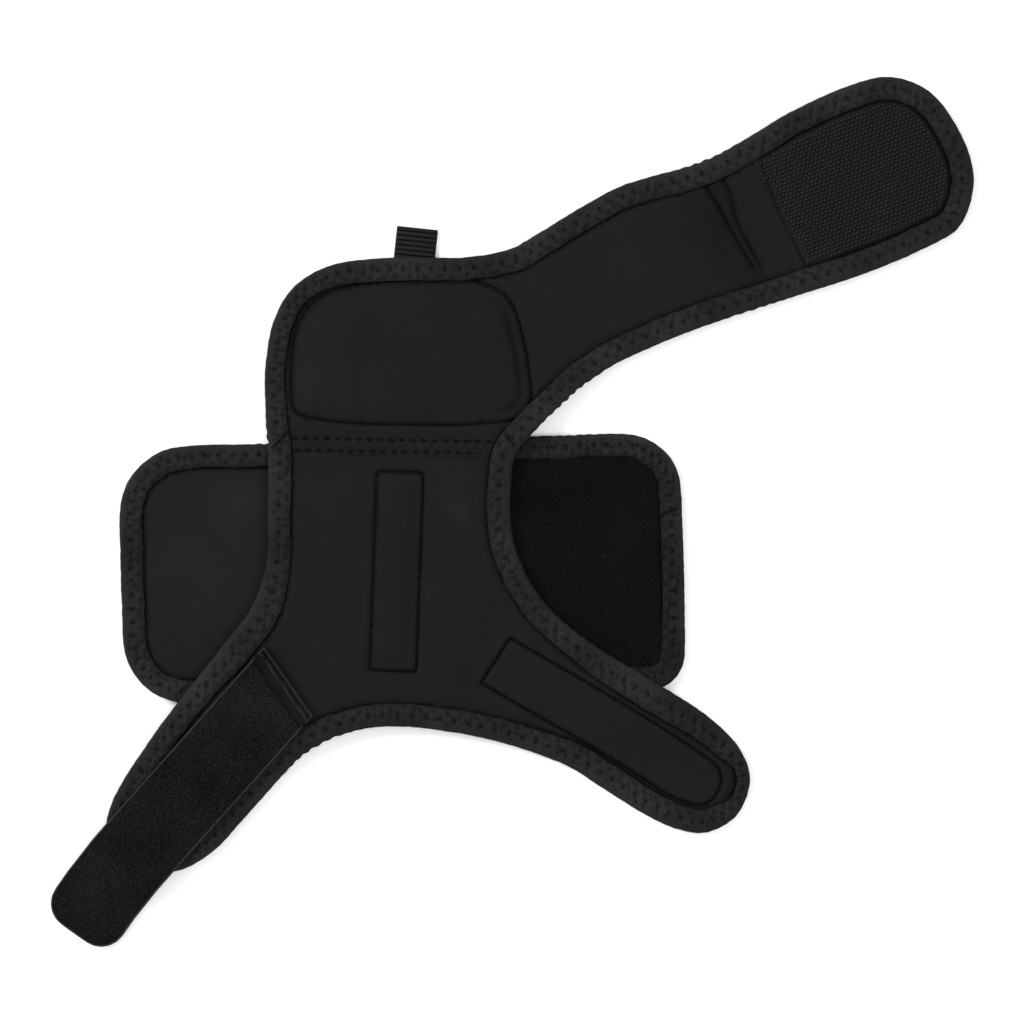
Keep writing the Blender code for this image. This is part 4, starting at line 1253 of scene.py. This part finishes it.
zigzags("thread_body", body_tape, body_region, BODY_PARTS, BODY_TOP - 0.30 * MM, True)
zigzags("thread_band", band_tape, band_region, BAND_PARTS, BAND_TOP - 0.30 * MM, False)
sleeve_stitch = Line(shifted(even(sleeve_line.points, CURVE_STEP, True), 0.45 * MM), True)
for name, rows, pitch, gap, lift, radius, on in (
        ("seam", seam_rows, SEAM_PITCH, 1.3, 0.24, 0.16, "palm"),
        ("sleeve", [sleeve_stitch], SLEEVE_PITCH, 0.9, 0.02, 0.18, "palm"),
        ("pad", [pad_line], 3.4, 1.0, -0.30, 0.18, "palm"),
        ("arm", [tape_line], 3.4, 1.0, -0.38, 0.18, "right_arm_fold")):
    runs = sum((stitched(row, pitch, gap, lift) for row in rows), [])
    stitches("thread_" + name, runs, radius * MM, DARK_THREAD, "neoprene_laminate", on)


# ---- webbing pull tab

def pull_tab():
    """Ribbed woven tape from under the panel out past its edge, in one length."""
    at, out = fold("pull_tab_flip")
    lean = np.array(JOINT["pull_tab_flip"]["axis"][:2])
    corners = np.vstack([outline(n, top_of(n)) for n in ("pull_tab", "pull_tab_sewn_end")])
    u, v = (corners - at) @ lean, (corners - at) @ out
    rib_pitch = 1.75 * MM
    us = np.linspace(u.min(), u.max(), 60)
    vs = np.arange(v.min(), v.max() + 0.01 * MM, 0.2 * MM)
    grid_u, grid_v = np.meshgrid(us, vs)
    edge = bell(np.minimum(grid_u - u.min(), u.max() - grid_u), 0.5)
    rib = np.abs(np.sin(math.pi * grid_v / rib_pitch))
    weave = np.cos(2 * math.pi * grid_u / (0.95 * MM) + math.pi * np.floor(grid_v / rib_pitch))
    # the tab lies on the floor, 0.05 mm over it
    thick = top_of("pull_tab") - base_of("pull_tab")
    top = thick - 0.35 * MM + 0.32 * MM * rib ** 0.7 + 0.07 * MM * weave - 0.5 * MM * edge
    bottom = 0.20 * MM + 0.25 * MM * edge
    flat = (at + grid_u[..., None] * lean + grid_v[..., None] * out).reshape(-1, 2)
    verts = np.vstack([np.column_stack([flat, z.ravel()]) for z in (top, bottom)])
    rows, cols = grid_u.shape
    count = rows * cols
    faces = ring_faces(rows, cols, 0, wrap=False, turned=True)
    faces += ring_faces(rows, cols, count, wrap=False)
    rim = list(range(cols)) + [r * cols + cols - 1 for r in range(1, rows)]
    rim += [(rows - 1) * cols + c for c in range(cols - 2, -1, -1)]
    rim += [r * cols for r in range(rows - 2, 0, -1)]
    faces += [[b, a, a + count, b + count] for a, b in zip(rim, rim[1:] + rim[:1])]
    # painted shade in the valleys between the ribs
    painted_light_and_marks = np.concatenate([(1.1 * (1 - rib)).ravel(), np.zeros(count)])
    obj = new_object("pull_tab_webbing", verts, faces, plan_uv(verts[:, :2]), 60.0, painted_light_and_marks)
    dress(obj, WEB, "webbing", "pull_tab_flip", "pull_tab", "pull_tab_sewn_end")


pull_tab()


# ---- hook tapes on the undersides

def under_tape(name, node, joint, fall):
    """A hook tape let into an underside, its hooks facing down."""
    def low(xy):
        return base_of(node) + 0.42 * MM - fall(xy)

    dense = even(outline(node, base_of(node)), 1.0 * MM, True)
    xy, tris = triangulate(dense, 1.8 * MM)
    plate = slab(name, xy, tris, top_of(node) - fall(xy), low(xy))
    teeth = hooks(name + "_hooks", dense, low, 1.9 * MM, 0.40 * MM, -0.40 * MM,
                  np.array([1.0, 0.0]), 1.2 * MM)
    dress(plate, PLASTIC, "hook_tape", joint, node)
    dress(teeth, HOOK, "hook_tape", joint)


under_tape("arm_hook_tape", "right_arm_hook_tape", "right_arm_fold", droop)
under_tape("wing_hook_tape", "left_wing_hook_patch", "left_wing_fold",
           lambda xy: np.zeros(len(xy)))


# ---- stage, light and camera

def stage_floor():
    mesh = bpy.data.meshes.new("floor")
    half, level = 4.0, -0.0002
    corners = [(x * half, y * half, level) for x, y in ((-1, -1), (1, -1), (1, 1), (-1, 1))]
    mesh.from_pydata(corners, [], [(0, 1, 2, 3)])
    floor = bpy.data.objects.new("floor", mesh)
    bpy.context.collection.objects.link(floor)
    material = bpy.data.materials.new("floor_white")
    material.use_nodes = True
    plug(material.node_tree, material.node_tree.nodes["Principled BSDF"], {
        "Base Color": (0.92, 0.92, 0.92, 1), "Roughness": 0.9, "Specular IOR Level": 0.1})
    mesh.materials.append(material)


def area_light(name, place, size, power):
    light = bpy.data.lights.new(name, "AREA")
    light.shape, light.size, light.energy = "DISK", size, power
    obj = bpy.data.objects.new(name, light)
    obj.location = place
    obj.rotation_euler = (-Vector(place)).to_track_quat("-Z", "Y").to_euler()
    bpy.context.collection.objects.link(obj)


stage_floor()
area_light("key", (-1.3, 0.8, 0.9), 0.9, 34)
area_light("fill", (0.9, -0.3, 1.6), 1.6, 20)
world = bpy.data.worlds.new("studio")
world.use_nodes = True
plug(world.node_tree, world.node_tree.nodes["Background"], {"Color": (1, 1, 1, 1), "Strength": 0.75})
bpy.context.scene.world = world
bpy.context.scene.view_settings.view_transform = "Standard"

# seen from straight above, through a long lens, the guard takes up 90% of the picture's width
LENS, SENSOR, SHARE = 100, 36, 0.90
low, high = (np.array(c) for c in cad_box)
middle = (low + high) / 2
camera_data = bpy.data.cameras.new("camera")
camera_data.lens, camera_data.sensor_width = LENS, SENSOR
camera = bpy.data.objects.new("camera", camera_data)
camera.location = (middle[0], middle[1], (high - low)[0] / SHARE * LENS / SENSOR)
camera.rotation_euler = (0, 0, 0)
bpy.context.collection.objects.link(camera)
bpy.context.scene.camera = camera
